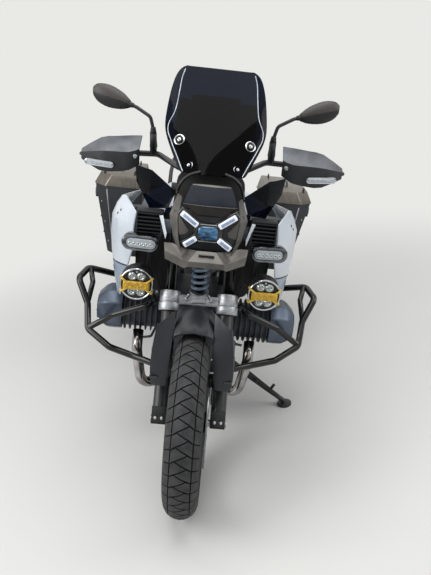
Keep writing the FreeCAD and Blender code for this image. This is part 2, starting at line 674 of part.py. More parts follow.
def make_side_panels():
    """Painted shrouds beside the tank, each a thin folded shell."""
    # y, then x and z of top, fold, flank and bottom
    rows = [(196, 246, 1010, 252, 968, 252, 932, 248, 900), (262, 278, 1034, 296, 960, 292, 870, 274, 786),
            (335, 300, 1036, 332, 950, 326, 796, 303, 648), (430, 322, 1012, 356, 940, 352, 798, 330, 664),
            (560, 296, 1000, 350, 930, 348, 836, 330, 752), (680, 262, 990, 318, 915, 314, 856, 300, 806)]
    sections = []
    for row in eased(rows, 2):
        corners = eased(list(zip(row[1::2], row[2::2])), 2)
        outer = [V(x, row[0], z) for x, z in corners]
        inner = [V(x - PANEL_T, row[0], z) for x, z in reversed(corners)]
        sections.append(outer + inner)
    return {"side_panels": both(loft(sections))}


GRILLE_FINS = 6


def make_grilles():
    """Radiator intakes: an open frame with level fins."""
    x0, x1, y0, y1, z0, z1 = 152, 242 - FIT_GAP, 176, 222, 938, 1024
    shell = block(x0, x1, y0, y1, z0, z1).cut(block(x0 + 5, x1 - 5, y0 - 1, y1 - 6, z0 + 5, z1 - 5))
    fins = []
    for index in range(GRILLE_FINS):
        z = z0 + 8 + (z1 - z0 - 20) * index / (GRILLE_FINS - 1)
        fins.append(block(x0 + 4, x1 - 4, y0 + 2, y0 + 24, z, z + 4))
    return {"grilles": both(fused(shell, *fins))}


def make_front_carrier():
    """Cast carrier that holds lamp, beak, grilles, panels and screen to the frame arm."""
    beam = block(-236, 236, 222, 238, 990, 1014)
    pad = block(-60, 60, 197, 215 - FIT_GAP, 960, 1060)
    parts = [block(-60, -32, 214, 227, 985, 1035), block(32, 60, 214, 227, 985, 1035)]
    for side in (-1, 1):
        parts.append(tube([V(side * 26, 205, 1058), V(side * 26, 202, 1146), V(side * 26, 272, 1232),
                           V(side * 26, 356, 1236)], 7, 50))
    for side in (-1, 1):
        parts.append(tube([V(side * 196, 240, 1000), V(side * 196, 262, 900), V(side * 196, 268, 760)], 8, 40))
    carrier = fused(beam, pad, *parts)
    arm = block(-30 - FIT_GAP, 30 + FIT_GAP, 215 - FIT_GAP, 380, 985 - FIT_GAP, 1035 + FIT_GAP)
    return {"front_carrier": solid_of(carrier.cut(arm).cut(make_cockpit()["cockpit"]))}


LAMP_FACE_Y = 26.0
LAMP_BARS = [((88, 1070), (36, 1026)), ((75, 962), (37, 986))]
BAR_HALF = 8.5


def make_headlamp():
    """Headlamp: housing, crossed light bars with a central lens, cover shield, blades and beak."""
    housing = loft([[V(-84, LAMP_FACE_Y + 10, 948), V(84, LAMP_FACE_Y + 10, 948), V(96, LAMP_FACE_Y + 10, 1076),
                     V(-96, LAMP_FACE_Y + 10, 1076)],
                    [V(-70, 196, 962), V(70, 196, 962), V(76, 196, 1074), V(-76, 196, 1074)]], 14)
    bars = []
    for outer, inner in LAMP_BARS:
        run = V(inner[0] - outer[0], 0, inner[1] - outer[1]).normalize()
        across = V(-run.z, 0, run.x) * BAR_HALF
        start = V(outer[0], LAMP_FACE_Y, outer[1])
        end = V(inner[0], LAMP_FACE_Y, inner[1])
        bar = prism([start + across, end + across, end - across, start - across], V(0, 16, 0))
        bars.append(bar)
        bars.append(flipped(bar))
    lens = prism([V(-38, LAMP_FACE_Y - 4, 990), V(38, LAMP_FACE_Y - 4, 990), V(38, LAMP_FACE_Y - 4, 1024),
                  V(-38, LAMP_FACE_Y - 4, 1024)], V(0, 22, 0), 10)
    lamps = fused(lens, *bars)
    housing = solid_of(housing.cut(lamps))

    slope = (V(0, 40, 1091) - V(0, 90, 1149)).normalize()
    out = V(0, slope.z, -slope.y)
    top = V(0, 92, 1150) - out * 12
    # distance down the slope, half width, height at the middle and at the edge
    rows = [(0, 60, 10, 6), (8, 66, 15, 9), (40, 76, 18, 10), (74, 86, 18, 10), (108, 40, 9, 6)]
    sections = []
    for down, half, crown, rim in rows:
        middle = top + slope * down
        shoulder = crown * 0.8 + rim * 0.2
        sections.append([middle + V(-half, 0, 0), middle + V(-half, 0, 0) + out * rim,
                         middle + V(-half * 0.5, 0, 0) + out * shoulder, middle + out * crown,
                         middle + V(half * 0.5, 0, 0) + out * shoulder, middle + V(half, 0, 0) + out * rim,
                         middle + V(half, 0, 0)])
    cover = loft(sections)
    stay = block(-40, 40, 46, 196, 1078, 1094)
    cover = solid_of(fused(cover, stay).cut(housing))

    # z, inner (x, y), outer (x, y)
    rows = [(1100, (92, 96), (108, 146)), (1040, (100, 52), (128, 98)), (980, (92, 26), (112, 66)),
            (926, (72, 4), (84, 28))]
    sections = []
    for z, inner, outer in rows:
        sections.append([V(inner[0], inner[1], z), V(outer[0], outer[1], z), V(outer[0] - 5, outer[1] + 4, z),
                         V(inner[0] - 1, inner[1] + 6, z)])
    blade = loft(sections)
    blade = fused(blade, block(80, 114, 84, 150, 1040, 1060))
    blade = solid_of(blade.cut(housing))

    # y, half width, top z, bottom z
    rows = [(64, 140, 962, 918), (10, 118, 946, 900), (-30, 78, 946, 900), (-62, 60, 934, 916)]
    sections = []
    for y, half, high, low in rows:
        sections.append([V(-half, y, low + 6), V(-half * 0.5, y, low), V(half * 0.5, y, low), V(half, y, low + 6),
                         V(half, y, high - 8), V(half * 0.5, y, high), V(-half * 0.5, y, high), V(-half, y, high - 8)])
    beak = loft(sections)
    slot = block(-24, 24, -64, -30, 938, 948)
    mount = block(-50, 50, 50, 190, 930, 947.5)
    beak = fused(beak, mount).cut(slot).cut(housing).cut(lamps).cut(both(blade))
    return {"headlamp_housing": housing, "headlamp_lights": lamps, "beak": solid_of(beak),
            "headlamp_shields": Part.makeCompound([cover, blade, flipped(blade)])}


def screen_sheet(ahead, behind):
    """Curved screen, from a distance ahead of its front face to one behind it."""
    # z, half width, middle y, edge y
    rows = [(1166, 108, 150, 172), (1200, 126, 168, 198), (1292, 172, 222, 268), (1404, 164, 305, 346),
            (1466, 147, 354, 382), (1483, 134, 368, 392), (1490, 112, 374, 388)]
    wires = []
    for z, half, middle, edge in rows:
        corners = [V(-half, edge - ahead, z), V(half, edge - ahead, z), V(half, edge + behind, z),
                   V(-half, edge + behind, z)]
        front = Part.Arc(corners[0], V(0, middle - ahead, z), corners[1]).toShape()
        rear = Part.Arc(corners[2], V(0, middle + behind, z), corners[3]).toShape()
        left = Part.LineSegment(corners[1], corners[2]).toShape()
        right = Part.LineSegment(corners[3], corners[0]).toShape()
        wires.append(Part.Wire([front, left, rear, right]))
    return solid_of(Part.makeLoft(wires, True, True))


def make_windscreen():
    """Tall curved screen and the small wings beside it."""
    screen = screen_sheet(0, SCREEN_T)

    # x, y, z of the corners of a small side wing, front face
    wing = [V(118, 205, 1092), V(205, 260, 1146), V(268, 326, 1150), V(262, 330, 1090), V(206, 268, 1012),
            V(140, 214, 1030)]
    sections = [[wing[0], wing[5]], [wing[1], wing[4]], [wing[2], wing[3]]]
    strips = []
    for high, low in sections:
        strips.append([high, low, low + V(-2, SCREEN_T, 0), high + V(-2, SCREEN_T, 0)])
    deflector = loft(strips)
    stay = block(120, 148, 214, 238, 1014 + FIT_GAP, 1034)
    deflector = fused(deflector, stay)
    return {"windscreen": Part.makeCompound([screen, deflector, flipped(deflector)])}


def make_cockpit():
    """Instrument display, screen carrier plate and the grey accessory bar."""
    display = prism([V(-92, 395, 1240), V(92, 395, 1240), V(92, 430, 1345), V(-92, 430, 1345)], V(0, 22, -7), 8)
    plate = prism([V(-60, 352, 1215), V(60, 352, 1215), V(60, 380, 1330), V(-60, 380, 1330)], V(0, 8, -2))
    join = block(-40, 40, 366, 414, 1262, 1290)
    bar = rod(V(-82, 430, 1392), V(82, 430, 1392), 7)
    parts = []
    for side in (-1, 1):
        parts.append(tube([V(side * 78, 430, 1392), V(side * 70, 415, 1370), V(side * 50, 383, 1316)], 5, 12))
        for x, y, z in ((80, 178, 1196), (116, 236, 1262)):
            parts.append(tube([V(side * x, y, z), V(side * (x - 6), y + 34, z - 4), V(side * 30, 360, 1250)],
                              5, 16))
    cockpit = fused(display, plate, join, bar, *parts).cut(screen_sheet(60, SCREEN_T + FIT_GAP))
    return {"cockpit": solid_of(cockpit)}


LAMP_R = 59.5


def make_lamps():
    """Oblong lamps under the grilles and round lamps below them, on brackets to the carrier's legs."""
    oblong = prism([V(152, 124, 892), V(284, 138, 892), V(284, 138, 950), V(152, 124, 950)], V(0, 36, 0), 16)
    stay = block(188, 204, 156, 252, 912, 930)
    oblong = fused(oblong, stay)
    leg = tube([V(196, 240, 1000), V(196, 262, 900), V(196, 268, 760)], 8 + FIT_GAP, 40)
    round_lamp = rod(V(228, 176, 756), V(228, 240, 756), LAMP_R)
    tail = Part.makeCone(LAMP_R - 8, 26, 22, V(228, 240, 756), V(0, 1, 0))
    hanger = block(186, 206, 236, 270, 745, 768)
    round_lamp = fused(round_lamp, tail, hanger)
    lamps = [solid_of(lamp.cut(leg)) for lamp in (oblong, round_lamp)]
    return {"auxiliary_lamps": Part.makeCompound(lamps + [flipped(lamp) for lamp in lamps])}


def make_crash_bars():
    """Engine guard of one side: lower loop round the head cover, outer bumper loop, and top stay."""
    loop = [V(152, 348, 352), V(336, 352, 410), V(432, 410, 454), V(446, 470, 540), V(494, 520, 628),
            V(472, 624, 640), V(330, 668, 600), V(160, 690, 560)]
    main = tube(loop, CRASH_R, 34)
    stay = tube([V(426, 412, 462), V(322, 344, 556), V(204, 322, 612), V(152, 330, 640)], CRASH_R - 1.5, 30)
    inner = tube([V(446, 478, 548), V(442, 560, 600), V(460, 618, 638)], CRASH_R - 2.5, 20)
    foot = block(ENGINE_HALF + FIT_GAP, 156, 332, 420, 326, 374)
    lug = block(ENGINE_HALF + FIT_GAP, 160, 670, 710, 540, 580)
    guard = fused(main, stay, inner, foot, lug)
    return {"crash_bars": both(guard)}


def make_seats():
    """Stepped rider and passenger seats."""
    # y, half width, bottom above the rails, edge z, top z
    rider = [(870, 92, 60, 872, 890), (960, 128, 0, 862, 884), (1000, 140, 0, 863, 884),
             (1080, 158, 0, 866, 886), (1176, 168, 0, 900, 924)]
    pillion = [(1182, 150, 0, 930, 958), (1300, 148, 0, 946, 966), (1440, 128, 0, 956, 976)]
    seats = []
    for rows in (rider, pillion):
        sections = []
        for y, half, above, edge, top in rows:
            low = rail_top(y) + FIT_GAP + above
            sections.append([V(-half * 0.85, y, low), V(half * 0.85, y, low), V(half, y, edge),
                             V(half * 0.6, y, top), V(-half * 0.6, y, top), V(-half, y, edge)])
        seats.append(loft(sections, 8))
    return {"seats": Part.makeCompound(seats)}


def make_luggage_rack():
    """Tail rack plate with grab rails and its posts."""
    middle = REAR_AXLE.y + 26
    plate = prism([V(-105, middle - 105, 1004), V(105, middle - 105, 1004), V(135, middle, 1004),
                   V(100, middle + 108, 1004), V(-100, middle + 108, 1004), V(-135, middle, 1004)], V(0, 0, 9), 24)
    for side in (-1, 1):
        window = block(side * 41 - 29, side * 41 + 29, middle - 70, middle + 70, 1000, 1016)
        plate = plate.cut(window)
    parts = []
    for side in (-1, 1):
        parts.append(tube([V(side * 128, middle - 15, 1008), V(side * 172, middle - 80, 1000),
                           V(side * 178, 1330, 960), V(side * 178, 1254, 892), V(side * 164, 1242, 838),
                           V(side * 116, 1240, 835)], 10, 26))
        post = middle - 60
        parts.append(rod(V(side * 90, post, 1006), V(side * 103, post, rail_middle(post)[0]), 9))
    return {"luggage_rack": solid_of(fused(plate, *parts).cut(make_rear_frame()["rear_frame"]))}


def make_tail():
    """Tail light under the rack, plate carrier, and the wheel hugger."""
    end = REAR_AXLE.y + 51
    light = loft([[V(-58, end, 930), V(58, end, 930), V(70, end, 985), V(-70, end, 985)],
                  [V(-46, end + 70, 942), V(46, end + 70, 942), V(56, end + 70, 976), V(-56, end + 70, 976)]], 10)
    arm = prism([V(-24, end + 15, 935), V(-24, end + 55, 935), V(-24, end + 325, 704), V(-24, end + 365, 560),
                 V(-24, end + 351, 556), V(-24, end + 305, 694)], V(48, 0, 0))
    plate = prism([V(-90, end + 325, 704), V(90, end + 325, 704), V(90, end + 365, 560), V(-90, end + 365, 560)],
                  V(0, 3, 0.9), 8)
    lights = []
    for side in (-1, 1):
        lights.append(rod(V(side * 20, end + 295, 722), V(side * 130, end + 295, 722), 6))
        lights.append(rod(V(side * 128, end + 287, 722), V(side * 128, end + 317, 722), 15))
    y = CROSS_Y[-1]
    z = rail_middle(y)[0]
    saddle = block(-60, 60, y, end + 15, z - 4, 936)
    tail = fused(light, arm, plate, saddle, *lights)
    tail = solid_of(tail.cut(rod(V(-110, y, z), V(110, y, z), CROSS_R + FIT_GAP)))

    hug_r = REAR_TYRE_R + 22
    half = REAR_TYRE_HALF + 10
    shell = ring(V(-half, 0, 0), V(half, 0, 0), hug_r + PANEL_T, hug_r)
    keep = prism([V(-half - 1, 0, 0), V(-half - 1, -560, 70), V(-half - 1, -560, 560), V(-half - 1, 170, 560)],
                 V(2 * half + 2, 0, 0))
    shell = solid_of(shell.common(keep)).translated(REAR_AXLE)
    y, z = REAR_AXLE.y, REAR_AXLE.z
    stay = block(half, half + 8, y - 60, y - 20, z + 60, z + 345)
    stay = stay.cut(rod(V(0, y, z), V(200, y, z), DRIVE_R + FIT_GAP))
    return {"tail_unit": tail, "rear_hugger": fused(shell, stay)}


def make_swingarm():
    """Single-sided shaft-drive arm with the bevel drive, spindle and brake caliper."""
    y, z = REAR_AXLE.y, REAR_AXLE.z
    drive = rod(V(DRIVE_X, y, z), V(146, y, z), DRIVE_R)
    nose = Part.makeCone(DRIVE_R, 60, 18, V(146, y, z), X_AXIS)
    spindle = rod(V(-REAR_HUB_RIGHT + 8, y, z), V(DRIVE_X + 2, y, z), REAR_SPINDLE_R)
    beam = loft([[V(100, 905, 352), V(158, 905, 352), V(158, 905, 448), V(100, 905, 448)],
                 [V(104, 1180, 346), V(164, 1180, 346), V(164, 1180, 438), V(104, 1180, 438)],
                 [V(98, y - 64, z - 28), V(150, y - 64, z - 28), V(150, y - 64, z + 66), V(98, y - 64, z + 66)]], 18)
    hinge = rod(V(96, 900, 400), V(160, 900, 400), 56)
    saddle = block(REAR_HUB_LEFT - 9, 100, y - 128, y - 66, z + 40, z + 104)
    arm = fused(drive, nose, beam, hinge, saddle)
    disc_room = rod(V(REAR_HUB_LEFT - 4, y, z), V(DRIVE_X - 1, y, z), REAR_DISC_R + 3)
    arm = arm.cut(disc_room)
    arm = fused(arm, spindle).cut(rod(V(-100, y, z), V(200, y, z), REAR_SPINDLE_BORE_R))
    arm = arm.cut(rod(V(-200, 900, 400), V(200, 900, 400), 20 + FIT_GAP))
    return {"swingarm": solid_of(arm)}


def make_footrests():
    """Rider and passenger pegs on their plates, with the gear and brake levers."""
    parts = []
    x = ENGINE_HALF + FIT_GAP
    plate = prism([V(x, 790, 296), V(x, 868, 296), V(x, 900, 500), V(x, 930, 560), V(x, 900, 600), V(x, 850, 520)],
                  V(7, 0, 0))
    peg = prism([V(x + 4, 822, 318), V(x + 4, 868, 318), V(x + 4, 868, 338), V(x + 4, 822, 338)], V(108, 0, 0), 6)
    rear = tube([V(x + 3, 908, 560), V(190, 1000, 520), V(258, 1014, 516)], 9, 20)
    pedal = tube([V(x + 5, 850, 312), V(176, 790, 306), V(190, 690, 306), V(232, 672, 306)], 6, 16)
    left = fused(plate, peg, rear, pedal)
    pivot_room = rod(V(90, 900, 400), V(170, 900, 400), 61)
    left = solid_of(left.cut(pivot_room))
    return {"footrests": both(left)}


def case_section(z, width, inset):
    """Level outline of a case at a height: inner wall upright, outer wall leaning out."""
    x0 = CASE_INNER_X + inset
    x1 = CASE_INNER_X + width - inset
    y0 = CASE_FRONT_Y + inset
    y1 = CASE_FRONT_Y + CASE_LENGTH - inset
    nose = 60.0
    return [V(x0, y0, z), V(x1 - nose, y0, z), V(x1, y0 + nose, z), V(x1, y1 - nose, z), V(x1 - nose, y1, z),
            V(x0, y1, z)]


def case_width(z):
    share = (z - CASE_FLOOR_Z) / (CASE_RIM_Z - CASE_FLOOR_Z)
    return CASE_FLOOR_WIDTH + (CASE_TOP_WIDTH - CASE_FLOOR_WIDTH) * share


def make_cases():
    """Aluminium side cases with hinged lids, hooked on tube carriers."""
    outer = loft([case_section(CASE_FLOOR_Z, CASE_FLOOR_WIDTH, 0),
                  case_section(CASE_RIM_Z, CASE_TOP_WIDTH, 0)], 14)
    floor = CASE_FLOOR_Z + CASE_WALL
    over = CASE_RIM_Z + 5
    room = loft([case_section(floor, case_width(floor), CASE_WALL),
                 case_section(over, case_width(over), CASE_WALL)], 12)
    body = outer.cut(room)
    low = CASE_RIM_Z + LID_GAP
    lid_top = low + LID_H
    shell = loft([case_section(low, CASE_TOP_WIDTH + 2, -2), case_section(lid_top, CASE_TOP_WIDTH - 14, 10)], 14)
    hollow = loft([case_section(low - 3, CASE_TOP_WIDTH + 2, 1),
                   case_section(lid_top - 3, CASE_TOP_WIDTH - 14, 13)], 12)
    lid = shell.cut(hollow)
    hinge = V(CASE_INNER_X - HINGE_R - 3, 0, low)
    y0 = CASE_FRONT_Y + 60
    y1 = CASE_FRONT_Y + CASE_LENGTH - 60
    for start, end in ((y0, y0 + 70), (y1 - 70, y1)):
        barrel = rod(V(hinge.x, start, hinge.z), V(hinge.x, end, hinge.z), HINGE_R)
        ear = block(hinge.x, CASE_INNER_X + 2, start, end, hinge.z + 1, hinge.z + HINGE_R - 1)
        lid = fused(lid, barrel, ear)
    for start, end in ((y0 + 71, y0 + 120), (y1 - 120, y1 - 71)):
        barrel = rod(V(hinge.x, start, hinge.z), V(hinge.x, end, hinge.z), HINGE_R)
        ear = block(hinge.x, CASE_INNER_X + 1, start, end, hinge.z - HINGE_R + 1, hinge.z - 1)
        body = fused(body, barrel, ear)
    carriers = []
    x = CASE_INNER_X - 14 - FIT_GAP
    front = CASE_FRONT_Y + 30
    rear = CASE_FRONT_Y + CASE_LENGTH - 40
    high = 800.0
    climb = 50.0 / (rear - front)
    loop = [V(x, front, 640), V(x, front, high), V(x, rear, high + 50), V(x, rear, 640), V(x, front, 640)]
    for start, end in zip(loop, loop[1:]):
        carriers.append(rod(start, end, 9))
        carriers.append(Part.makeSphere(9, start))
    for y in (front + 40, rear - 20):
        z = high + climb * (y - front)
        z_in = rail_middle(y)[0] - 9
        carriers.append(tube([V(x, y, z), V(x - 60, y, z), V(150, y, z_in), V(112, y, z_in)], 8, 20))
        carriers.append(rod(V(x, y, z), V(CASE_INNER_X - FIT_GAP, y, z), 12))
    carrier = solid_of(fused(*carriers).cut(make_rear_frame()["rear_frame"]))
    return {"side_cases": both(solid_of(body)),
            "case_lid_left": solid_of(lid), "case_lid_right": flipped(solid_of(lid)),
            "case_carrier": both(carrier)}


FLOOR_UP = PARKED.Rotation.inverted().multVec(V(0, 0, 1))
STAND_FOOT = V(STAND_FOOT_X, STAND_FOOT_Y,
               -(PARKED.Base.z + STAND_FOOT_X * FLOOR_UP.x + STAND_FOOT_Y * FLOOR_UP.y) / FLOOR_UP.z)
STAND_DOWN = (STAND_FOOT - STAND_PIVOT).normalize()
STAND_UP = V(0.26, 0.965, 0.0).normalize()
STAND_AXIS = STAND_DOWN.cross(STAND_UP).normalize()
STAND_SWING = math.degrees(STAND_DOWN.getAngle(STAND_UP))


def make_stand():
    """Side stand leg with its foot flat on the floor."""
    pad = Part.makeCylinder(STAND_PAD_R, 9, STAND_FOOT, FLOOR_UP)
    knuckle = STAND_FOOT + FLOOR_UP * 16
    leg = rod(STAND_PIVOT + STAND_DOWN * 25, knuckle, STAND_R)
    eye = Part.makeCylinder(27, 18, STAND_PIVOT - STAND_AXIS * 9, STAND_AXIS)
    hole = Part.makeCylinder(8.3, 40, STAND_PIVOT - STAND_AXIS * 20, STAND_AXIS)
    tang_foot = STAND_PIVOT + STAND_DOWN * 140
    tang = rod(tang_foot, tang_foot + V(14, -40, 6), 6)
    return {"side_stand": solid_of(fused(pad, leg, eye, tang).cut(hole))}


def make_stand_bracket():
    """Clevis bolted to the block's left side, with the stand's pivot pin."""
    pin = Part.makeCylinder(8, 42, STAND_PIVOT - STAND_AXIS * 21, STAND_AXIS)
    upper = Part.makeCylinder(20, 10, STAND_PIVOT + STAND_AXIS * 9.6, STAND_AXIS)
    lower = Part.makeCylinder(20, 10, STAND_PIVOT - STAND_AXIS * 19.6, STAND_AXIS)
    bracket = block(ENGINE_HALF + FIT_GAP, STAND_PIVOT.x + 4, 576, 640, 250, 330)
    keep_out = Part.makeCylinder(30, 19.2, STAND_PIVOT - STAND_AXIS * 9.6, STAND_AXIS)
    folded = rod(STAND_PIVOT, STAND_PIVOT + STAND_UP * 120, STAND_R + 5.5)
    bracket = bracket.cut(keep_out).cut(folded)
    return {"stand_bracket": solid_of(fused(bracket, upper, lower, pin))}


def parked(shape):
    """Lean the bike onto its stand, both tyres on the floor."""
    shape = shape.copy()
    shape.Placement = PARKED.multiply(shape.Placement)
    return shape


def turned_to_rest(shape):
    """Steering parts, turned to the small angle they rest at."""
    shape = shape.copy()
    shape.rotate(STEER_FOOT, STEER_UP, STEER_REST)
    return shape


STEERING_MAKERS = (make_fork, make_brake_hoses, make_calipers, make_handlebar, make_hand_guards, make_mirrors,
                   make_front_fender, make_front_wheel)
FIXED_MAKERS = (make_rear_wheel, make_front_suspension, make_frame, make_rear_frame, make_engine, make_exhaust,
                make_skid_plate, make_tank, make_side_panels, make_grilles, make_front_carrier, make_headlamp,
                make_windscreen, make_cockpit, make_lamps, make_crash_bars, make_seats, make_luggage_rack,
                make_tail, make_swingarm, make_footrests, make_cases, make_stand, make_stand_bracket)

OUTERMOST = ("front_tyre", "hand_guards", "mirrors", "side_cases", "tail_unit")

nodes = {}
for maker in STEERING_MAKERS:
    for name, shape in maker().items():
        nodes[name] = parked(turned_to_rest(shape))
for maker in FIXED_MAKERS:
    for name, shape in maker().items():
        nodes[name] = parked(shape)

# The origin lies on the floor, below the middle of the whole bike's box
outline = Part.makeCompound([nodes[name] for name in OUTERMOST]).optimalBoundingBox()
ORIGIN_SHIFT = V(-(outline.XMin + outline.XMax) / 2, -(outline.YMin + outline.YMax) / 2, 0)

os.makedirs("parts", exist_ok=True)
for name, shape in nodes.items():
    shape.translated(ORIGIN_SHIFT).exportStep("parts/" + name + ".step")
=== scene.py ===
import math

import bmesh
import bpy
from mathutils import Matrix, Vector


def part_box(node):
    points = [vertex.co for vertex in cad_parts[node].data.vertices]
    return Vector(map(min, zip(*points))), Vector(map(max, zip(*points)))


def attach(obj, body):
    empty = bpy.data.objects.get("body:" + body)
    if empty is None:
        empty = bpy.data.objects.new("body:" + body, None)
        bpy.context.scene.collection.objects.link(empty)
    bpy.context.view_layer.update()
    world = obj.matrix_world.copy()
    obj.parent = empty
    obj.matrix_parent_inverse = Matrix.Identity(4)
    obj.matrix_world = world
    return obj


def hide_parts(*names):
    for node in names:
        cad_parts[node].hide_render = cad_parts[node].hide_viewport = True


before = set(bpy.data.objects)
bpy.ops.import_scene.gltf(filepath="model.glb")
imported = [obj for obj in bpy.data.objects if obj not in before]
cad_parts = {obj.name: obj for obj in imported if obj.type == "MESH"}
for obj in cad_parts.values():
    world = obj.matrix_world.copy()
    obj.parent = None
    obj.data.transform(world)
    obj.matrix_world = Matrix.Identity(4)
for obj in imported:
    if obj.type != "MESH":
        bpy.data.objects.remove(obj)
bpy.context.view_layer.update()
bpy.ops.object.select_all(action="DESELECT")

# Where the motorcycle stands. The pieces below are drawn on the upright bike: X to its left, Y to the rear from
# the front axle, Z up from the floor. It is then leaned 14 degrees on its side stand, and what turns with the
# handlebar is turned 4 degrees to its right about the raked steering head.
RAKE = math.radians(26.2)
LEAN = math.radians(14.0)
PITCH = math.radians(-0.0151)
BAR_TURN = math.radians(-4.0)
FRONT_AXLE = Vector((0, 0, 0.3253))
REAR_AXLE = Vector((0, 1.534, 0.3179))
STEER_FOOT = Vector((0, -0.1188, 0))
STEER_UP = Vector((0, math.sin(RAKE), math.cos(RAKE)))
TURNED = (Matrix.Translation(STEER_FOOT) @ Matrix.Rotation(BAR_TURN, 4, STEER_UP)
          @ Matrix.Translation(-STEER_FOOT))
axle_low, axle_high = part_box("front_axle")
axle_middle = (axle_low + axle_high) / 2
leaned = Matrix.Rotation(PITCH, 4, "X") @ Matrix.Rotation(LEAN, 4, "Y")
PARKED = Matrix.Translation(axle_middle - leaned @ TURNED @ FRONT_AXLE) @ leaned
STEERED = PARKED @ TURNED

# The view: a phone held at chest height in front of the machine, a little to its left, tilted down and slightly
# rolled. The place is given from the front axle, so that it follows the machine.
LENS_MM = 36.818
VIEW_FROM_AXLE = Vector((0.227103, -1.767957, 1.167339))
VIEW_TURN = (68.7371, 8.0885, -1.1639)
lens = bpy.data.cameras.new("front_view")
lens.lens = LENS_MM
camera = bpy.data.objects.new("front_view", lens)
camera.location = axle_middle + VIEW_FROM_AXLE
camera.rotation_euler = [math.radians(angle) for angle in VIEW_TURN]
bpy.context.collection.objects.link(camera)
bpy.context.scene.camera = camera
bpy.context.scene.view_settings.view_transform = "Standard"


# The studio: a plain pale floor and a pale surround that camera, gloss and glass see, with three soft light
# boxes: a strong one at the machine's right, one overhead and a weaker one at its left.


def srgb(hex_colour):
    """The linear colour of a written sRGB value such as 8a8f94."""
    parts = [int(hex_colour[i:i + 2], 16) / 255 for i in (0, 2, 4)]
    return (*[p / 12.92 if p <= 0.04045 else ((p + 0.055) / 1.055) ** 2.4 for p in parts], 1.0)


def add_node(tree, kind, settings=(), links=()):
    """Adds a node, sets its fields or sockets by name, and links (socket, from node, from socket)."""
    node = tree.nodes.new(kind)
    for name, value in settings:
        if hasattr(node, name):
            setattr(node, name, value)
        else:
            node.inputs[name].default_value = value
    for socket, source, output in links:
        tree.links.new(source.outputs[output], node.inputs[socket])
    return node


world = bpy.data.worlds.new("pale_studio")
bpy.context.scene.world = world
world.use_nodes = True
tree = world.node_tree
tree.nodes.clear()
ray = add_node(tree, "ShaderNodeLightPath")
seen = add_node(tree, "ShaderNodeMath", [("operation", "MAXIMUM")],
                [(0, ray, "Is Camera Ray"), (1, ray, "Is Glossy Ray")])
seen = add_node(tree, "ShaderNodeMath", [("operation", "MAXIMUM")],
                [(0, seen, 0), (1, ray, "Is Transmission Ray")])
soft = add_node(tree, "ShaderNodeBackground", [("Color", srgb("dfe6ee")), ("Strength", 0.5)])
pale = add_node(tree, "ShaderNodeBackground", [("Color", srgb("e9e9e6")), ("Strength", 1.0)])
both = add_node(tree, "ShaderNodeMixShader", [], [(0, seen, 0), (1, soft, 0), (2, pale, 0)])
add_node(tree, "ShaderNodeOutputWorld", [], [("Surface", both, 0)])

# name, place, aim, size in metres, watts
LIGHT_BOXES = [("right_side", (-2.6, -1.6, 2.4), (0, -0.3, 0.7), 2.2, 62),
               ("overhead", (0.4, -0.6, 3.4), (0, 0, 0.6), 3.0, 70),
               ("left_side", (3.0, -0.9, 1.8), (0, 0, 0.7), 1.8, 26)]
for name, place, aim, size, watts in LIGHT_BOXES:
    lamp = bpy.data.lights.new(name, "AREA")
    lamp.size = size
    lamp.energy = watts
    box = bpy.data.objects.new(name, lamp)
    box.location = place
    box.rotation_euler = (Vector(aim) - Vector(place)).to_track_quat("-Z", "Y").to_euler()
    bpy.context.collection.objects.link(box)

bpy.ops.mesh.primitive_plane_add(size=30, location=(0, 0, 0))
floor = bpy.context.object
floor.name = "floor"
# Matt paint, so that the floor shows soft shadows and fades into the surround.
floor_paint = bpy.data.materials.new("matt_floor_paint")
floor_paint.use_nodes = True
shader = floor_paint.node_tree.nodes["Principled BSDF"]
shader.inputs["Base Color"].default_value = srgb("dcdad5")
shader.inputs["Roughness"].default_value = 0.75
tree = floor_paint.node_tree
spot = add_node(tree, "ShaderNodeTexCoord")
far = add_node(tree, "ShaderNodeVectorMath", [("operation", "LENGTH")], [(0, spot, "Object")])
fade = add_node(tree, "ShaderNodeMapRange", [("interpolation_type", "SMOOTHSTEP"), ("From Min", 0.9),
                                             ("From Max", 3.2)], [("Value", far, "Value")])
ray = add_node(tree, "ShaderNodeLightPath")
fade = add_node(tree, "ShaderNodeMath", [("operation", "MULTIPLY")],
                [(0, fade, "Result"), (1, ray, "Is Camera Ray")])
glow = add_node(tree, "ShaderNodeEmission", [("Color", srgb("e9e9e6")), ("Strength", 1.0)])
blend = add_node(tree, "ShaderNodeMixShader", [], [(0, fade, 0), (1, shader, 0), (2, glow, 0)])
tree.links.new(blend.outputs[0], tree.nodes["Material Output"].inputs["Surface"])
floor.data.materials.append(floor_paint)
bpy.ops.object.select_all(action="DESELECT")


# Tyres: radial road and gravel tyres of vulcanised rubber, moulded with a zigzag of centre blocks, a groove
# along each side and slanted shoulder blocks, and dusty from the road. They sit on the rims' beads.


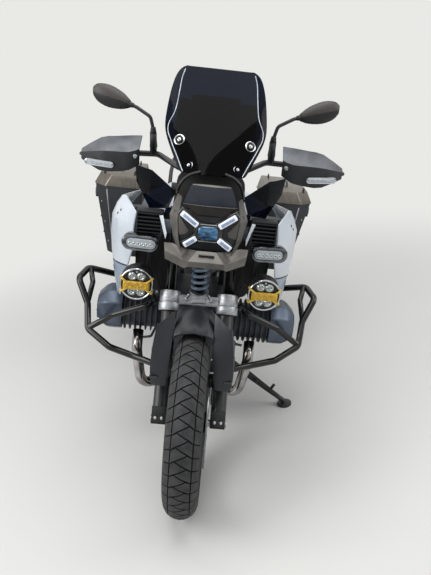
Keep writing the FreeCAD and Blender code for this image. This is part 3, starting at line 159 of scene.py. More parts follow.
def coating(name, low, high, cloud_mm, grit_mm, rough, spread=0.08, dent_mm=0.03, stretch=(1, 1, 1), **sockets):
    """A finish with a cloudy colour between two tones, and a grit that changes its gloss and dents it."""
    material = bpy.data.materials.new(name)
    material.use_nodes = True
    tree = material.node_tree
    shader = tree.nodes["Principled BSDF"]
    for socket, value in sockets.items():
        shader.inputs[socket.replace("_", " ")].default_value = value
    place = add_node(tree, "ShaderNodeTexCoord")
    drawn = add_node(tree, "ShaderNodeMapping", [("Scale", stretch)], [("Vector", place, "Object")])
    cloud = add_node(tree, "ShaderNodeTexNoise", [("Scale", 1000 / cloud_mm), ("Detail", 3.0)],
                     [("Vector", drawn, 0)])
    tones = add_node(tree, "ShaderNodeValToRGB", [], [("Fac", cloud, "Fac")])
    tones.color_ramp.elements[0].position = 0.35
    tones.color_ramp.elements[0].color = srgb(low)
    tones.color_ramp.elements[1].position = 0.65
    tones.color_ramp.elements[1].color = srgb(high)
    grit = add_node(tree, "ShaderNodeTexNoise", [("Scale", 1000 / grit_mm), ("Detail", 2.0)],
                    [("Vector", drawn, 0)])
    gloss = add_node(tree, "ShaderNodeMapRange", [("To Min", rough - spread), ("To Max", rough + spread)],
                     [("Value", grit, "Fac")])
    bump = add_node(tree, "ShaderNodeBump", [("Strength", 1.0), ("Distance", dent_mm / 1000)],
                    [("Height", grit, "Fac")])
    for socket, source, output in (("Base Color", tones, "Color"), ("Roughness", gloss, "Result"),
                                   ("Normal", bump, "Normal")):
        tree.links.new(source.outputs[output], shader.inputs[socket])
    return material


def settle(piece, body, place, nodes=(), smooth=35.0):
    """Sets a finished piece's mesh on the parked machine and hangs the piece on the body it moves with."""
    piece.data.transform(place @ piece.matrix_basis)
    piece.matrix_basis = Matrix.Identity(4)
    bpy.ops.object.select_all(action="DESELECT")
    bpy.context.view_layer.objects.active = piece
    piece.select_set(True)
    bpy.ops.object.shade_smooth_by_angle(angle=math.radians(smooth))
    piece.select_set(False)
    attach(piece, body)
    if nodes:
        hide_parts(*nodes)
    return piece


def second_finish(piece, material, place, chosen):
    """Gives another finish to the faces that a test picks by their middle and normal on the upright bike."""
    piece.data.materials.append(material)
    index = len(piece.data.materials) - 1
    upright = place.inverted()
    turn = upright.to_3x3()
    for face in piece.data.polygons:
        if chosen(upright @ face.center, turn @ face.normal):
            face.material_index = index


def linked_mesh(shape, name, material):
    """Makes a linked piece of one material from a finished shape, and frees the shape."""
    mesh = bpy.data.meshes.new(name)
    shape.to_mesh(mesh)
    shape.free()
    mesh.materials.append(material)
    piece = bpy.data.objects.new(name, mesh)
    bpy.context.collection.objects.link(piece)
    return piece


# Rubber: neutral black with hardly any gloss, greyer where it is dusty
tyre_rubber = coating("vulcanised_rubber_dusty", "1e1e1f", "2b2b2c", 70, 1.6, 0.78, 0.1, 0.12)
# The blocks' worn tops: paler than the walls, with small dusty patches
tread_rubber = coating("dusty_tread_rubber", "2a2a2b", "3e3e3f", 28, 1.6, 0.82, 0.1, 0.12)
# Painted shade in the grooves: near black, darker than the carcass, so that the zigzag stands out
groove_shade_rubber = coating("groove_rubber_painted_shade", "0b0b0b", "121212", 60, 1.6, 0.85, 0.08, 0.05)
TREAD_DEPTH = 0.0055
HALF_GROOVE = 0.0031


def make_tyre(name, radius, half, crown, rim_r, rim_half, pitches, zig, groove_s, edge_s):
    """A carcass turned from its section, with one pitch of tread blocks repeated round the crown."""
    def crown_point(s, height):
        turn = s / crown
        return (crown + height) * math.sin(turn), radius - crown + (crown + height) * math.cos(turn)

    profile = [(rim_half, rim_r + 0.001), (rim_half, rim_r + 0.0115), (rim_half + 0.011, rim_r + 0.016)]
    edge_r = crown_point(edge_s, -0.002)[1]
    bulge_x, bulge_r = half - 0.0015, (edge_r + rim_r + 0.016) / 2 + 0.006
    profile += [((bulge_x + rim_half + 0.012) / 2, (bulge_r + rim_r + 0.016) / 2), (bulge_x, bulge_r)]
    steps = 8
    profile += [crown_point(edge_s * (1 - index / steps), -TREAD_DEPTH if index else -0.0015)
                for index in range(steps + 1)]
    ring = profile + [(-x, r) for x, r in reversed(profile[:-1])]
    shape = bmesh.new()
    verts = [shape.verts.new((x, 0, r)) for x, r in ring]
    for a, b in zip(verts, verts[1:]):
        shape.edges.new((a, b))
    shape.edges.new((verts[-1], verts[0]))
    bmesh.ops.spin(shape, geom=shape.verts[:] + shape.edges[:], cent=(0, 0, 0), axis=(1, 0, 0),
                   angle=2 * math.pi, steps=120, use_merge=True)
    bmesh.ops.remove_doubles(shape, verts=shape.verts, dist=0.00001)
    bmesh.ops.recalc_face_normals(shape, faces=shape.faces)

    # One pitch of the tread laid flat: across the tread, then along it
    pitch = 2 * math.pi * radius / pitches
    rise = pitch * 0.24
    far = rise + pitch * 0.22
    blocks = [[(-groove_s, pitch - rise), (-zig, pitch), (zig, pitch / 2), (-zig, 0), (-groove_s, -rise)],
              [(zig, pitch / 2), (groove_s, pitch / 2 - rise), (groove_s, -pitch / 2 - rise), (zig, -pitch / 2),
               (-zig, 0)],
              [(-edge_s, pitch - far), (-groove_s, pitch - rise), (-groove_s, -rise), (-edge_s, -far)],
              [(groove_s, pitch / 2 - rise), (edge_s, pitch / 2 - far), (edge_s, -pitch / 2 - far),
               (groove_s, -pitch / 2 - rise)]]
    tread = bmesh.new()
    for outline in blocks:
        tread.faces.new([tread.verts.new((s, along, 0)) for s, along in outline])
    bmesh.ops.recalc_face_normals(tread, faces=tread.faces)
    inset = bmesh.ops.inset_individual(tread, faces=tread.faces[:], thickness=HALF_GROOVE)
    bmesh.ops.delete(tread, geom=inset["faces"], context="FACES")
    for step in range(-4, 5):
        bmesh.ops.bisect_plane(tread, geom=tread.verts[:] + tread.edges[:] + tread.faces[:], dist=0.00001,
                               plane_co=(edge_s * step / 4.6, 0, 0), plane_no=(1, 0, 0))
    bmesh.ops.bisect_plane(tread, geom=tread.verts[:] + tread.edges[:] + tread.faces[:], dist=0.00001,
                           plane_co=(0, 0, 0), plane_no=(0, 1, 0))
    walls = bmesh.ops.extrude_face_region(tread, geom=tread.faces[:])
    raised = [v for v in walls["geom"] if isinstance(v, bmesh.types.BMVert)]
    for vert in raised:
        vert.co.z = 1.0
    for index in range(pitches):
        turn = 2 * math.pi * index / pitches
        copy = {}
        for vert in tread.verts:
            x, r = crown_point(vert.co.x, 0.0 if vert.co.z else -TREAD_DEPTH - 0.001)
            angle = vert.co.y / radius + turn
            copy[vert] = shape.verts.new((x, r * math.sin(angle), r * math.cos(angle)))
        for face in tread.faces:
            if any(v.co.z for v in face.verts):
                shape.faces.new([copy[v] for v in face.verts])
    tread.free()
    loose = [v for v in shape.verts if not v.link_faces]
    bmesh.ops.delete(shape, geom=loose, context="VERTS")
    return linked_mesh(shape, name, tyre_rubber)


def tread_zone(p, axle, radius, crown, top):
    """Whether a place is on the blocks' tops, or else in the grooves between them."""
    reach = math.hypot(p.y - axle.y, p.z - axle.z)
    height = math.hypot(p.x, reach - radius + crown)
    return reach > radius - crown * 0.62 and (height > crown - 0.0025) == top


# node, body, place, axle, radius, half width, crown's radius, rim's radius and half width, pitches round the tyre,
# reach of the zigzag, of the side grooves and of the blocks from the middle
TYRES = [("front_tyre", "front_wheel", STEERED, FRONT_AXLE, 0.3253, 0.060, 0.060, 0.2413, 0.0377, 46, 0.019, 0.037,
          0.072),
         ("rear_tyre", "rear_wheel", PARKED, REAR_AXLE, 0.3179, 0.085, 0.090, 0.2159, 0.0567, 38, 0.026, 0.052,
          0.098)]
for node, body, place, axle, radius, half, crown, rim_r, rim_half, pitches, zig, groove, edge in TYRES:
    tyre = make_tyre(node + "_zigzag_tread", radius, half, crown, rim_r, rim_half, pitches, zig, groove, edge)
    tyre.data.transform(Matrix.Translation(axle))
    settle(tyre, body, place, (node,), 50)
    # The block tops get the dusty tread rubber, and the grooves get the painted shade.
    for rubber, top in ((tread_rubber, True), (groove_shade_rubber, False)):
        second_finish(tyre, rubber, place, lambda p, n: tread_zone(p, axle, radius, crown, top))

# Wheels: aluminium rims laced with crossed steel spokes that end at the rim's outer edge, on forged hubs.
# The rims and hubs are black powder coat, a fine orange-peel satin; the spokes are polished steel. The brake
# discs are ground steel, drilled in four rings, and the front axle is a hollow turned tube.


def touch(piece, start, aim, place):
    """Where a line from a start along an aim, on the upright bike, first meets a settled piece, and the way out."""
    hit, spot, normal, face = piece.ray_cast(place @ Vector(start), (place.to_3x3() @ Vector(aim)).normalized())
    upright = place.inverted()
    return (upright @ spot if hit else Vector(start)), (upright.to_3x3() @ normal if hit else -Vector(aim))


WELD = 0.00002


def node_copy(node, name, material, flat=0):
    """A new piece with a CAD node's shape, its triangles welded and, within an angle, joined to whole faces."""
    piece = bpy.data.objects.new(name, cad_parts[node].data.copy())
    bpy.context.collection.objects.link(piece)
    piece.data.materials.clear()
    piece.data.materials.append(material)
    shape = bmesh.new()
    shape.from_mesh(piece.data)
    bmesh.ops.remove_doubles(shape, verts=shape.verts, dist=WELD)
    if flat:
        bmesh.ops.dissolve_limit(shape, angle_limit=flat, verts=shape.verts, edges=shape.edges)
    shape.to_mesh(piece.data)
    shape.free()
    return piece


def welded_copy(node, name, body, material, round_mm=0.0, smooth=35.0):
    """A CAD node's own shape with its triangles welded, its flat faces whole and its edges eased."""
    piece = node_copy(node, name, material, 0.01 if round_mm else 0)
    if round_mm:
        ease = piece.modifiers.new("eased_edges", "BEVEL")
        ease.width = round_mm / 1000
        ease.segments = 2
        ease.limit_method = "ANGLE"
        ease.angle_limit = math.radians(40)
        bpy.context.view_layer.objects.active = piece
        bpy.ops.object.modifier_apply(modifier=ease.name)
    return settle(piece, body, Matrix.Identity(4), (node,), smooth)


# Powder coat melts to a fine orange peel: a broken satin sheen on black
rim_coat = coating("satin_black_powder_coat", "161719", "202225", 80, 2.4, 0.38, 0.06, 0.02)
# Polished steel: thin bright lines against the dark rim
spoke_steel = coating("polished_spoke_steel", "9a9c9e", "c2c4c6", 40, 1.0, 0.22, 0.05, 0.0, Metallic=1.0)
for node, body, place, axle, rim_r in (("front_rim", "front_wheel", STEERED, FRONT_AXLE, 0.2293),
                                       ("rear_rim", "rear_wheel", PARKED, REAR_AXLE, 0.2039)):
    rim = welded_copy(node, node + "_spoked", body, rim_coat, 0, 40)
    second_finish(rim, spoke_steel, place,
                  lambda p, n: 0.057 < Vector((p.y - axle.y, p.z - axle.z)).length < rim_r - 0.001)
# Ground steel: even grey metal with a soft mirror
ground_steel = coating("ground_disc_steel", "7e8083", "919396", 60, 0.9, 0.3, 0.06, 0.01, Metallic=1.0)
front_discs = welded_copy("front_discs", "front_discs_ground", "front_wheel", ground_steel, 0.6)
rear_disc = welded_copy("rear_disc", "rear_disc_ground", "rear_wheel", ground_steel, 0.6)
# Painted shade: dark plugs in the drilled holes stand in for their dark inside
hole_painted_shade = coating("drilled_hole_shadow", "0a0a0b", "101011", 30, 1.0, 0.8)
DISC_HOLES = 60
HOLE_RINGS = (0.108, 0.120, 0.132, 0.143)
HOLE_R = 0.0033
for disc, body, place, axle in ((front_discs, "front_wheel", STEERED, FRONT_AXLE),
                                (rear_disc, "rear_wheel", PARKED, REAR_AXLE)):
    shadows = []
    for side in (-1, 1):
        for index in range(DISC_HOLES):
            around = 2 * math.pi * index / DISC_HOLES
            reach = HOLE_RINGS[index % len(HOLE_RINGS)]
            start = (side * 0.4, axle.y + reach * math.cos(around), axle.z + reach * math.sin(around))
            spot, out = touch(disc, start, (-side, 0, 0), place)
            if abs(spot.x) < 0.39:
                shadows.append((spot, side))
    marks = bmesh.new()
    for spot, side in shadows:
        ring = [marks.verts.new(spot + Vector((side * 0.0003, HOLE_R * math.cos(a), HOLE_R * math.sin(a))))
                for a in [index * math.pi / 5 for index in range(10)]]
        low = [marks.verts.new(vert.co - Vector((side * 0.0006, 0, 0))) for vert in ring]
        marks.faces.new(ring)
        marks.faces.new(list(reversed(low)))
        for index in range(10):
            marks.faces.new((ring[index - 1], ring[index], low[index], low[index - 1]))
    bmesh.ops.recalc_face_normals(marks, faces=marks.faces)
    settle(linked_mesh(marks, body + "_disc_hole_painted_shade", hole_painted_shade), body, place)
# Turned steel: grey metal with faint tool marks
turned_steel = coating("turned_axle_steel", "85878a", "a9abad", 30, 0.8, 0.3, 0.05, 0.0, Metallic=1.0)
welded_copy("front_axle", "front_axle_hollow", "steering", turned_steel, 0.6)


# Fork: black stanchion sliders with cast axle feet, black nitrided tubes, and an aluminium bridge whose two
# brushed collars clamp the sliders. The bridge is machined bright; two silver hose fittings sit on its web.


def apply_modifier(piece, kind, **settings):
    """Adds a modifier to a piece, sets it and applies it."""
    change = piece.modifiers.new(kind.lower(), kind)
    for name, value in settings.items():
        setattr(change, name, value)
    bpy.context.view_layer.objects.active = piece
    bpy.ops.object.modifier_apply(modifier=change.name)


def block(centre, size, ease, material, turn=(0, 0, 0), segments=3):
    """A block at its size and place, with its edges eased."""
    bpy.ops.object.select_all(action="DESELECT")
    bpy.ops.mesh.primitive_cube_add(size=1, location=centre, rotation=turn)
    piece = bpy.context.object
    piece.scale = size
    bpy.ops.object.transform_apply(location=False, rotation=False, scale=True)
    apply_modifier(piece, "BEVEL", width=ease, segments=segments, limit_method="ANGLE")
    piece.data.materials.append(material)
    return piece


def bar(start, end, radius, material, ease=0.001, sides=32, end_radius=None):
    """A round bar or cone between two places, its rims eased."""
    start = Vector(start)
    along = Vector(end) - start
    bpy.ops.object.select_all(action="DESELECT")
    turn = along.to_track_quat("Z", "Y").to_euler()
    bpy.ops.mesh.primitive_cone_add(vertices=sides, radius1=radius, radius2=end_radius or radius,
                                    depth=along.length, location=start + along / 2, rotation=turn)
    piece = bpy.context.object
    if ease:
        apply_modifier(piece, "BEVEL", width=ease, segments=2, limit_method="ANGLE", angle_limit=math.radians(50))
    piece.data.materials.append(material)
    return piece


def hoop(centre, radius, thick, material, turn=(math.pi / 2, 0, 0), around=40, across=10):
    """A round ring of wire or moulding, facing forwards unless it is turned."""
    bpy.ops.object.select_all(action="DESELECT")
    bpy.ops.mesh.primitive_torus_add(location=centre, rotation=turn, major_radius=radius, minor_radius=thick,
                                     major_segments=around, minor_segments=across)
    piece = bpy.context.object
    piece.data.materials.append(material)
    return piece


def one_piece(name, parts, mirrored=False):
    """Joins parts into one named piece, with its mirror image on the bike's other side where it has one."""
    for part in parts:
        part.data.transform(part.matrix_basis)
        part.matrix_basis = Matrix.Identity(4)
    bpy.ops.object.select_all(action="DESELECT")
    for part in parts:
        part.select_set(True)
    bpy.context.view_layer.objects.active = parts[0]
    if len(parts) > 1:
        bpy.ops.object.join()
    piece = parts[0]
    piece.name = name
    piece.data.name = name
    if mirrored:
        shape = bmesh.new()
        shape.from_mesh(piece.data)
        copy = bmesh.ops.duplicate(shape, geom=shape.verts[:] + shape.edges[:] + shape.faces[:])["geom"]
        for vert in [e for e in copy if isinstance(e, bmesh.types.BMVert)]:
            vert.co.x = -vert.co.x
        bmesh.ops.reverse_faces(shape, faces=[e for e in copy if isinstance(e, bmesh.types.BMFace)])
        shape.to_mesh(piece.data)
        shape.free()
    return piece


def cut_across(piece, place, cuts, keep_above=False):
    """Cuts a piece's faces along planes, each a place and a normal on the upright bike, and may keep one side."""
    shape = bmesh.new()
    shape.from_mesh(piece.data)
    for foot, up in cuts:
        cut = bmesh.ops.bisect_plane(shape, geom=shape.verts[:] + shape.edges[:] + shape.faces[:],
                                     plane_co=place @ Vector(foot), plane_no=place.to_3x3() @ Vector(up).normalized(),
                                     clear_inner=keep_above)
    if keep_above:
        bmesh.ops.holes_fill(shape, edges=[e for e in cut["geom_cut"] if isinstance(e, bmesh.types.BMEdge)])
        bmesh.ops.recalc_face_normals(shape, faces=shape.faces)
    shape.to_mesh(piece.data)
    shape.free()


# Sprayed satin black: a low, even sheen
black_paint = coating("satin_black_paint", "121315", "1c1e20", 90, 1.4, 0.35, 0.06, 0.01)
# Nitrided steel: black with a narrow metal gleam
black_tube = coating("black_nitride_tube", "0f1012", "17181a", 60, 1.0, 0.25, 0.04, 0.0, Metallic=0.6)
# Brushed metal: fine streaks that stretch its highlights
brushed = coating("brushed_aluminium", "8e9195", "b2b5b9", 30, 0.8, 0.42, 0.08, 0.02, (1, 1, 9), Metallic=0.85)
# Plated bolts: small sharp glints
bolt_steel = coating("bright_bolt_steel", "a6a8ab", "c6c8ca", 12, 0.8, 0.25, 0.05, 0.0, Metallic=1.0)
sliders = welded_copy("fork_sliders", "fork_sliders_painted", "steering", black_paint, 2.0)
cut_across(sliders, STEERED, [((0, -0.070, 0.3412), (0, 0.37, 0.93))], True)
welded_copy("fork_tubes", "fork_tubes_black", "steering", black_tube)
welded_copy("fork_bridge", "fork_bridge_brushed", "steering", brushed, 1.2)
FORK = Matrix.Translation(STEER_FOOT) @ Matrix.Rotation(-RAKE, 4, "X")
LEG_X = 0.103
LEG_BACK = -0.0370
trim = []
for side in (-1, 1):
    leg = side * LEG_X
    trim.append(bar((leg, LEG_BACK, 0.7290), (leg, LEG_BACK, 0.7580), 0.0392, brushed, 0.0014, 56))
    trim.append(bar((leg, LEG_BACK, 0.7595), (leg, LEG_BACK, 0.7975), 0.0375, brushed, 0.0018, 56))
    trim.append(hoop((leg, LEG_BACK, 0.8005), 0.0245, 0.0035, black_paint, (0, 0, 0)))
    for across in (-0.011, 0.011):
        trim.append(bar((leg + across, -0.0705, 0.352), (leg + across, -0.0765, 0.352), 0.0062, bolt_steel, 0.001, 6))
    trim.append(bar((side * 0.042, -0.056, 0.772), (side * 0.042, -0.068, 0.775), 0.0075, bolt_steel, 0.001, 6))
    trim.append(bar((side * 0.042, -0.066, 0.775), (side * 0.034, -0.078, 0.79), 0.005, bolt_steel, 0.0008, 16))
trim.append(block((0, -0.052, 0.772), (0.05, 0.012, 0.024), 0.003, brushed))
collars = one_piece("fork_collars_and_bolts", trim)
settle(collars, "steering", STEERED @ FORK)
# Rubber over braid: dull black with a fine broken grain
hose_rubber = coating("braided_hose_rubber", "0d0d0e", "161617", 10, 0.8, 0.5, 0.06, 0.05)
welded_copy("brake_hoses", "brake_hoses_black", "steering", hose_rubber)

# Front shock: a steel coil spring, powder coated pale grey-blue, round an oil damper, between the control arm
# and the frame. The spring is one wound bar with closed ends.
# Pale powder coat with a clear shine, so that the coil stands out
spring_paint = coating("spring_powder_coat", "93a7bd", "a9bacb", 40, 1.5, 0.3, 0.05, 0.0, Metallic=0.3)
shock_foot = Vector((0, 0.345, 0.6573))
shock_head = Vector((0, 0.318, 0.940))
shock_up = (shock_head - shock_foot).normalized()
bpy.ops.object.select_all(action="DESELECT")
bpy.ops.mesh.primitive_circle_add(vertices=12, radius=0.0062, location=(0, 0, 0), rotation=(math.pi / 2, 0, 0))
coil = bpy.context.object
coil.data.transform(coil.matrix_basis)
coil.matrix_basis = Matrix.Identity(4)
coil.data.transform(Matrix.Translation((0.029, 0, 0)))
turns = 8
apply_modifier(coil, "SCREW", axis="Z", screw_offset=0.0255, iterations=turns, steps=28, render_steps=28)
shape = bmesh.new()
shape.from_mesh(coil.data)
bmesh.ops.holes_fill(shape, edges=shape.edges, sides=16)
bmesh.ops.recalc_face_normals(shape, faces=shape.faces)
shape.to_mesh(coil.data)
shape.free()
coil.data.materials.append(spring_paint)
coil.matrix_basis = (Matrix.Translation(shock_foot + shock_up * 0.034)
                     @ shock_up.to_track_quat("Z", "Y").to_matrix().to_4x4())
damper_parts = [coil, bar(shock_foot, shock_head, 0.0155, black_tube, 0.0015),
                bar(shock_foot + shock_up * 0.018, shock_foot + shock_up * 0.031, 0.038, brushed, 0.002),
                bar(shock_head - shock_up * 0.044, shock_head - shock_up * 0.028, 0.038, spring_paint, 0.002),
                bar((-0.016, 0.345, 0.6573), (0.016, 0.345, 0.6573), 0.0125, black_tube, 0.001)]
shock = one_piece("front_shock_spring", damper_parts)
settle(shock, "chassis", PARKED, ("front_shock",))

# Headlamp: a gloss black X of lamp bars round a blue glass projector, on a moulded housing with bronze cheeks.
# The bars are clear acrylic light guides with a milky diffuser; the projector is glass in a chromed bezel.


def plate(outline, thick, material, ease=0.001, push=(0, 1, 0)):
    """A flat plate through the corners of an outline, pushed to its thickness, with its edges eased."""
    shape = bmesh.new()
    face = shape.faces.new([shape.verts.new(corner) for corner in outline])
    grown = bmesh.ops.extrude_face_region(shape, geom=[face])["geom"]
    for vert in [e for e in grown if isinstance(e, bmesh.types.BMVert)]:
        vert.co += Vector(push) * thick
    bmesh.ops.recalc_face_normals(shape, faces=shape.faces)
    piece = linked_mesh(shape, "plate", material)
    if ease:
        apply_modifier(piece, "BEVEL", width=ease, segments=2, limit_method="ANGLE", angle_limit=math.radians(25))
    return piece


# Gloss black moulding: mirror-dark edges round the lamp
gloss_plastic = coating("gloss_black_abs", "08090a", "0d0e10", 60, 2.0, 0.12, 0.03, 0.0, Coat_Weight=0.7)
# Moulded with a fine grain: dull black with a soft speckle
black_plastic = coating("grained_black_plastic", "15171a", "202327", 60, 1.5, 0.55, 0.08, 0.06)
# Metallic paint: a warm grey sheen on the folds
bronze_plastic = coating("bronze_grey_painted_plastic", "54514d", "6a6661", 70, 1.2, 0.4, 0.06, 0.02, Metallic=0.45)
# Milky acrylic, faintly lit: the white bars
guide_acrylic = coating("milky_light_guide", "dfe7f4", "f4f7fc", 12, 1.5, 0.2, 0.04, 0.05, Emission_Strength=0.25,
                        Emission_Color=srgb("e8eefc"))
# Ribs behind the guide, drawn coarse enough to show: bluish bands in the white
diffuser = coating("ribbed_diffuser", "8898bb", "b9c6de", 3.2, 1.6, 0.35, 0.08, 0.2, (1, 1, 0.4))
# Chrome plate: near mirror
chrome = coating("bright_chrome_plate", "b9bbbf", "d9dbde", 60, 2.0, 0.09, 0.03, 0.0, Metallic=1.0)
welded_copy("headlamp_housing", "headlamp_housing_moulded", "chassis", black_plastic, 1.5)
LAMP_Y = 0.026
# outer x and z, inner x and z of each bar, as seen from the front
LAMP_BARS = [(-0.0865, 1.0655, -0.0365, 1.0300), (0.0830, 1.0665, 0.0350, 1.0310),
             (-0.0715, 0.9625, -0.0375, 0.9870), (0.0750, 0.9610, 0.0365, 0.9870)]
surround = []
guides = []
for outer_x, outer_z, inner_x, inner_z in LAMP_BARS:
    run = Vector((inner_x - outer_x, 0, inner_z - outer_z))
    turn = (0, -math.atan2(run.z, run.x), 0)
    middle = Vector(((outer_x + inner_x) / 2, LAMP_Y, (outer_z + inner_z) / 2))
    surround.append(block(middle + Vector((0, 0.014, 0)), (run.length + 0.022, 0.022, 0.030), 0.005,
                          gloss_plastic, turn))
    guides.append(block(middle + Vector((0, 0.001, 0)), (run.length + 0.004, 0.010, 0.0185), 0.0035,
                        guide_acrylic, turn))
    guides.append(block(middle + Vector((0, -0.0045, 0)), (run.length - 0.012, 0.003, 0.0095), 0.001, diffuser, turn))
surround.append(block((0, LAMP_Y + 0.015, 1.008), (0.100, 0.022, 0.064), 0.012, gloss_plastic))
lamp_x = one_piece("headlamp_black_cross", surround)
settle(lamp_x, "chassis", PARKED)
lamp_bars = one_piece("headlamp_light_bars", guides)
settle(lamp_bars, "chassis", PARKED, ("headlamp_lights",))
# Coated lens glass: deep blue, with paler flares painted in as reflections
lens_blue = coating("coated_blue_glass_painted_flares", "0b2038", "4f93c8", 26, 6.0, 0.06, 0.02, 0.0, (1, 1, 1.6), Coat_Weight=1.0,
                    Metallic=0.35)
bpy.ops.object.select_all(action="DESELECT")
bpy.ops.mesh.primitive_uv_sphere_add(segments=40, ring_count=20, radius=1, location=(0, LAMP_Y + 0.006, 1.007))
glass = bpy.context.object
glass.data.materials.append(lens_blue)
for vert in glass.data.vertices:
    x, y, z = vert.co
    swell = (abs(x) ** 4 + abs(z) ** 4) ** 0.25 or 1.0
    flat = math.hypot(x, z) / swell
    vert.co = (x * flat * 0.034, y * 0.012, z * flat * 0.0235)
bezel = block((0, LAMP_Y + 0.012, 1.007), (0.084, 0.022, 0.060), 0.010, gloss_plastic, segments=5)
brow = plate([(-0.030, LAMP_Y, 1.0335), (0.030, LAMP_Y, 1.0335), (0.024, LAMP_Y, 1.0365), (-0.024, LAMP_Y, 1.0365)],
             0.004, chrome, 0.0012)
sill = plate([(-0.032, LAMP_Y, 0.9805), (0.032, LAMP_Y, 0.9805), (0.026, LAMP_Y, 0.9765), (-0.026, LAMP_Y, 0.9765)],
             0.006, chrome, 0.0012)
projector = one_piece("headlamp_projector", [glass, bezel, brow, sill])
settle(projector, "chassis", PARKED)
cheek = plate([(0.098, 0.034, 1.058), (0.062, 0.030, 1.011), (0.066, 0.030, 0.999), (0.092, 0.036, 0.990)], 0.008,
              bronze_plastic, 0.002)
cheeks = one_piece("headlamp_bronze_cheeks", [cheek], True)
settle(cheeks, "chassis", PARKED)

# Lamp cover and side blades: painted mouldings, clipped to the carrier. The cover's field is a dark satin
# blue-grey with a dark bronze lip below it, and the blades are bronze-grey.


def wire(points, radius, material, ring=False):
    """A thin round wire, bead or seam along a smooth line through a few places."""
    curve = bpy.data.curves.new("wire", "CURVE")
    curve.dimensions = "3D"
    curve.bevel_depth = radius
    curve.bevel_resolution = 2
    curve.resolution_u = 6
    curve.use_fill_caps = True
    line = curve.splines.new("BEZIER")
    line.bezier_points.add(len(points) - 1)
    line.use_cyclic_u = ring
    for knot, point in zip(line.bezier_points, points):
        knot.co = point
        knot.handle_left_type = knot.handle_right_type = "AUTO"
    piece = bpy.data.objects.new("wire", curve)
    bpy.context.collection.objects.link(piece)
    bpy.ops.object.select_all(action="DESELECT")
    piece.select_set(True)
    bpy.context.view_layer.objects.active = piece
    bpy.ops.object.convert(target="MESH")
    piece = bpy.context.object
    piece.data.materials.clear()
    piece.data.materials.append(material)
    return piece


# Satin dark blue-grey: a calm field over the lamp
cover_paint = coating("satin_blue_grey_paint", "0d131c", "151d29", 90, 1.0, 0.40, 0.05, 0.01, Specular_IOR_Level=0.15)
# Dark bronze: a shade warmer than the field above it
lip_paint = coating("dark_bronze_paint", "191716", "23201e", 80, 1.0, 0.4, 0.05, 0.01, Specular_IOR_Level=0.2)
shields = welded_copy("headlamp_shields", "headlamp_cover_and_blades", "chassis", bronze_plastic,
                      1.2, 25)
LIP_TOP, FIELD_LOW, FIELD_TOP = 1.0905, 1.0925, 1.1440
cut_across(shields, PARKED, [((0, 0.04, height), (0, 0, 1)) for height in (LIP_TOP, FIELD_LOW, FIELD_TOP)])
second_finish(shields, cover_paint, PARKED,
              lambda p, n: abs(p.x) < 0.083 and FIELD_LOW < p.z < FIELD_TOP and n.y < -0.2 and p.y < 0.11)
second_finish(shields, lip_paint, PARKED,
              lambda p, n: abs(p.x) < 0.083 and 1.06 < p.z < LIP_TOP and n.y < -0.2 and p.y < 0.06)

line = [touch(shields, (x, -0.2, (LIP_TOP + FIELD_LOW) / 2), (0, 1, 0), PARKED)[0]
        for x in (-0.078, -0.055, -0.028, 0, 0.028, 0.055, 0.078)]
rim_lines = [wire([spot + Vector((0, -0.0004, 0)) for spot in line if spot.y > -0.1], 0.0013, bronze_plastic)]
# x, y and height along the round stay beside the cover
STAY = [(0.040, 0.150, 1.176), (0.076, 0.146, 1.162), (0.100, 0.150, 1.134), (0.111, 0.162, 1.098),
        (0.112, 0.185, 1.080)]
for side in (-1, 1):
    rim_lines.append(wire([(side * x, y, z) for x, y, z in STAY], 0.0052, gloss_plastic))
settle(one_piece("lamp_cover_line_and_stays", rim_lines), "chassis", PARKED)

# Beak: a folded bronze-grey nose under the lamp, an air slot in its middle and a swept wing each side, moulded
# in one with a mount that bolts to the carrier.
# half of the folded skin: name, x, y, z in millimetres
NOSE = {"a": (0, -22, 963), "b": (30, -20, 962), "c": (0, -60, 938), "d": (56, -58, 937), "e": (0, -58, 918),
        "f": (56, -56, 919), "g": (69, -28, 929), "h": (67, -26, 903), "i": (134, 42, 936), "j": (131, 45, 905),
        "k": (138, 62, 955), "l": (111, 42, 961), "m": (79, -8, 934), "n": (60, 60, 908), "o": (0, 60, 908),
        "p": (118, 66, 915), "q": (56, 30, 950)}
NOSE_FACES = ["abdc", "cdfe", "dghf", "bqmgd", "gmlki", "gijh", "mql", "efhno", "hjpn"]
shape = bmesh.new()
corners = {}
for name, spot in NOSE.items():
    for side in (1, -1):
        corners[name, side] = shape.verts.new([side * spot[0] / 1000, spot[1] / 1000, spot[2] / 1000])
for letters in NOSE_FACES:
    for side in (1, -1):
        shape.faces.new([corners[letter, side] for letter in (letters if side < 0 else reversed(letters))])
bmesh.ops.remove_doubles(shape, verts=shape.verts, dist=0.0001)
bmesh.ops.recalc_face_normals(shape, faces=shape.faces)
nose = linked_mesh(shape, "nose", bronze_plastic)
apply_modifier(nose, "SOLIDIFY", thickness=0.003, offset=-1.0)
apply_modifier(nose, "BEVEL", width=0.0012, segments=2, limit_method="ANGLE", angle_limit=math.radians(15))
# The air slot is a gloss black plate laid in the nose: painted shade for the opening.
beak_parts = [nose,
              block((0, -0.0395, 0.9535), (0.050, 0.004, 0.013), 0.0015, gloss_plastic, (math.radians(56), 0, 0)),
              block((0, 0.12, 0.938), (0.1, 0.14, 0.017), 0.003, black_plastic)]
beak = one_piece("beak_folded_nose", beak_parts)
settle(beak, "chassis", PARKED, ("beak",), 20)
# Pale silver paint: a light fin beside the dark intake
silver_paint = coating("pale_silver_paint", "d3d9e0", "e3e7ec", 60, 1.0, 0.3)
chip = plate([(0.150, 0.150, 1.020), (0.163, 0.158, 1.016), (0.1505, 0.165, 0.972), (0.137, 0.150, 0.938),
              (0.134, 0.140, 0.962)], 0.004, silver_paint, 0.001)
chip_stay = block((0.150, 0.178, 0.985), (0.012, 0.04, 0.012), 0.002, black_plastic)
chips = one_piece("silver_cheek_fins", [chip, chip_stay], True)
settle(chips, "chassis", PARKED)

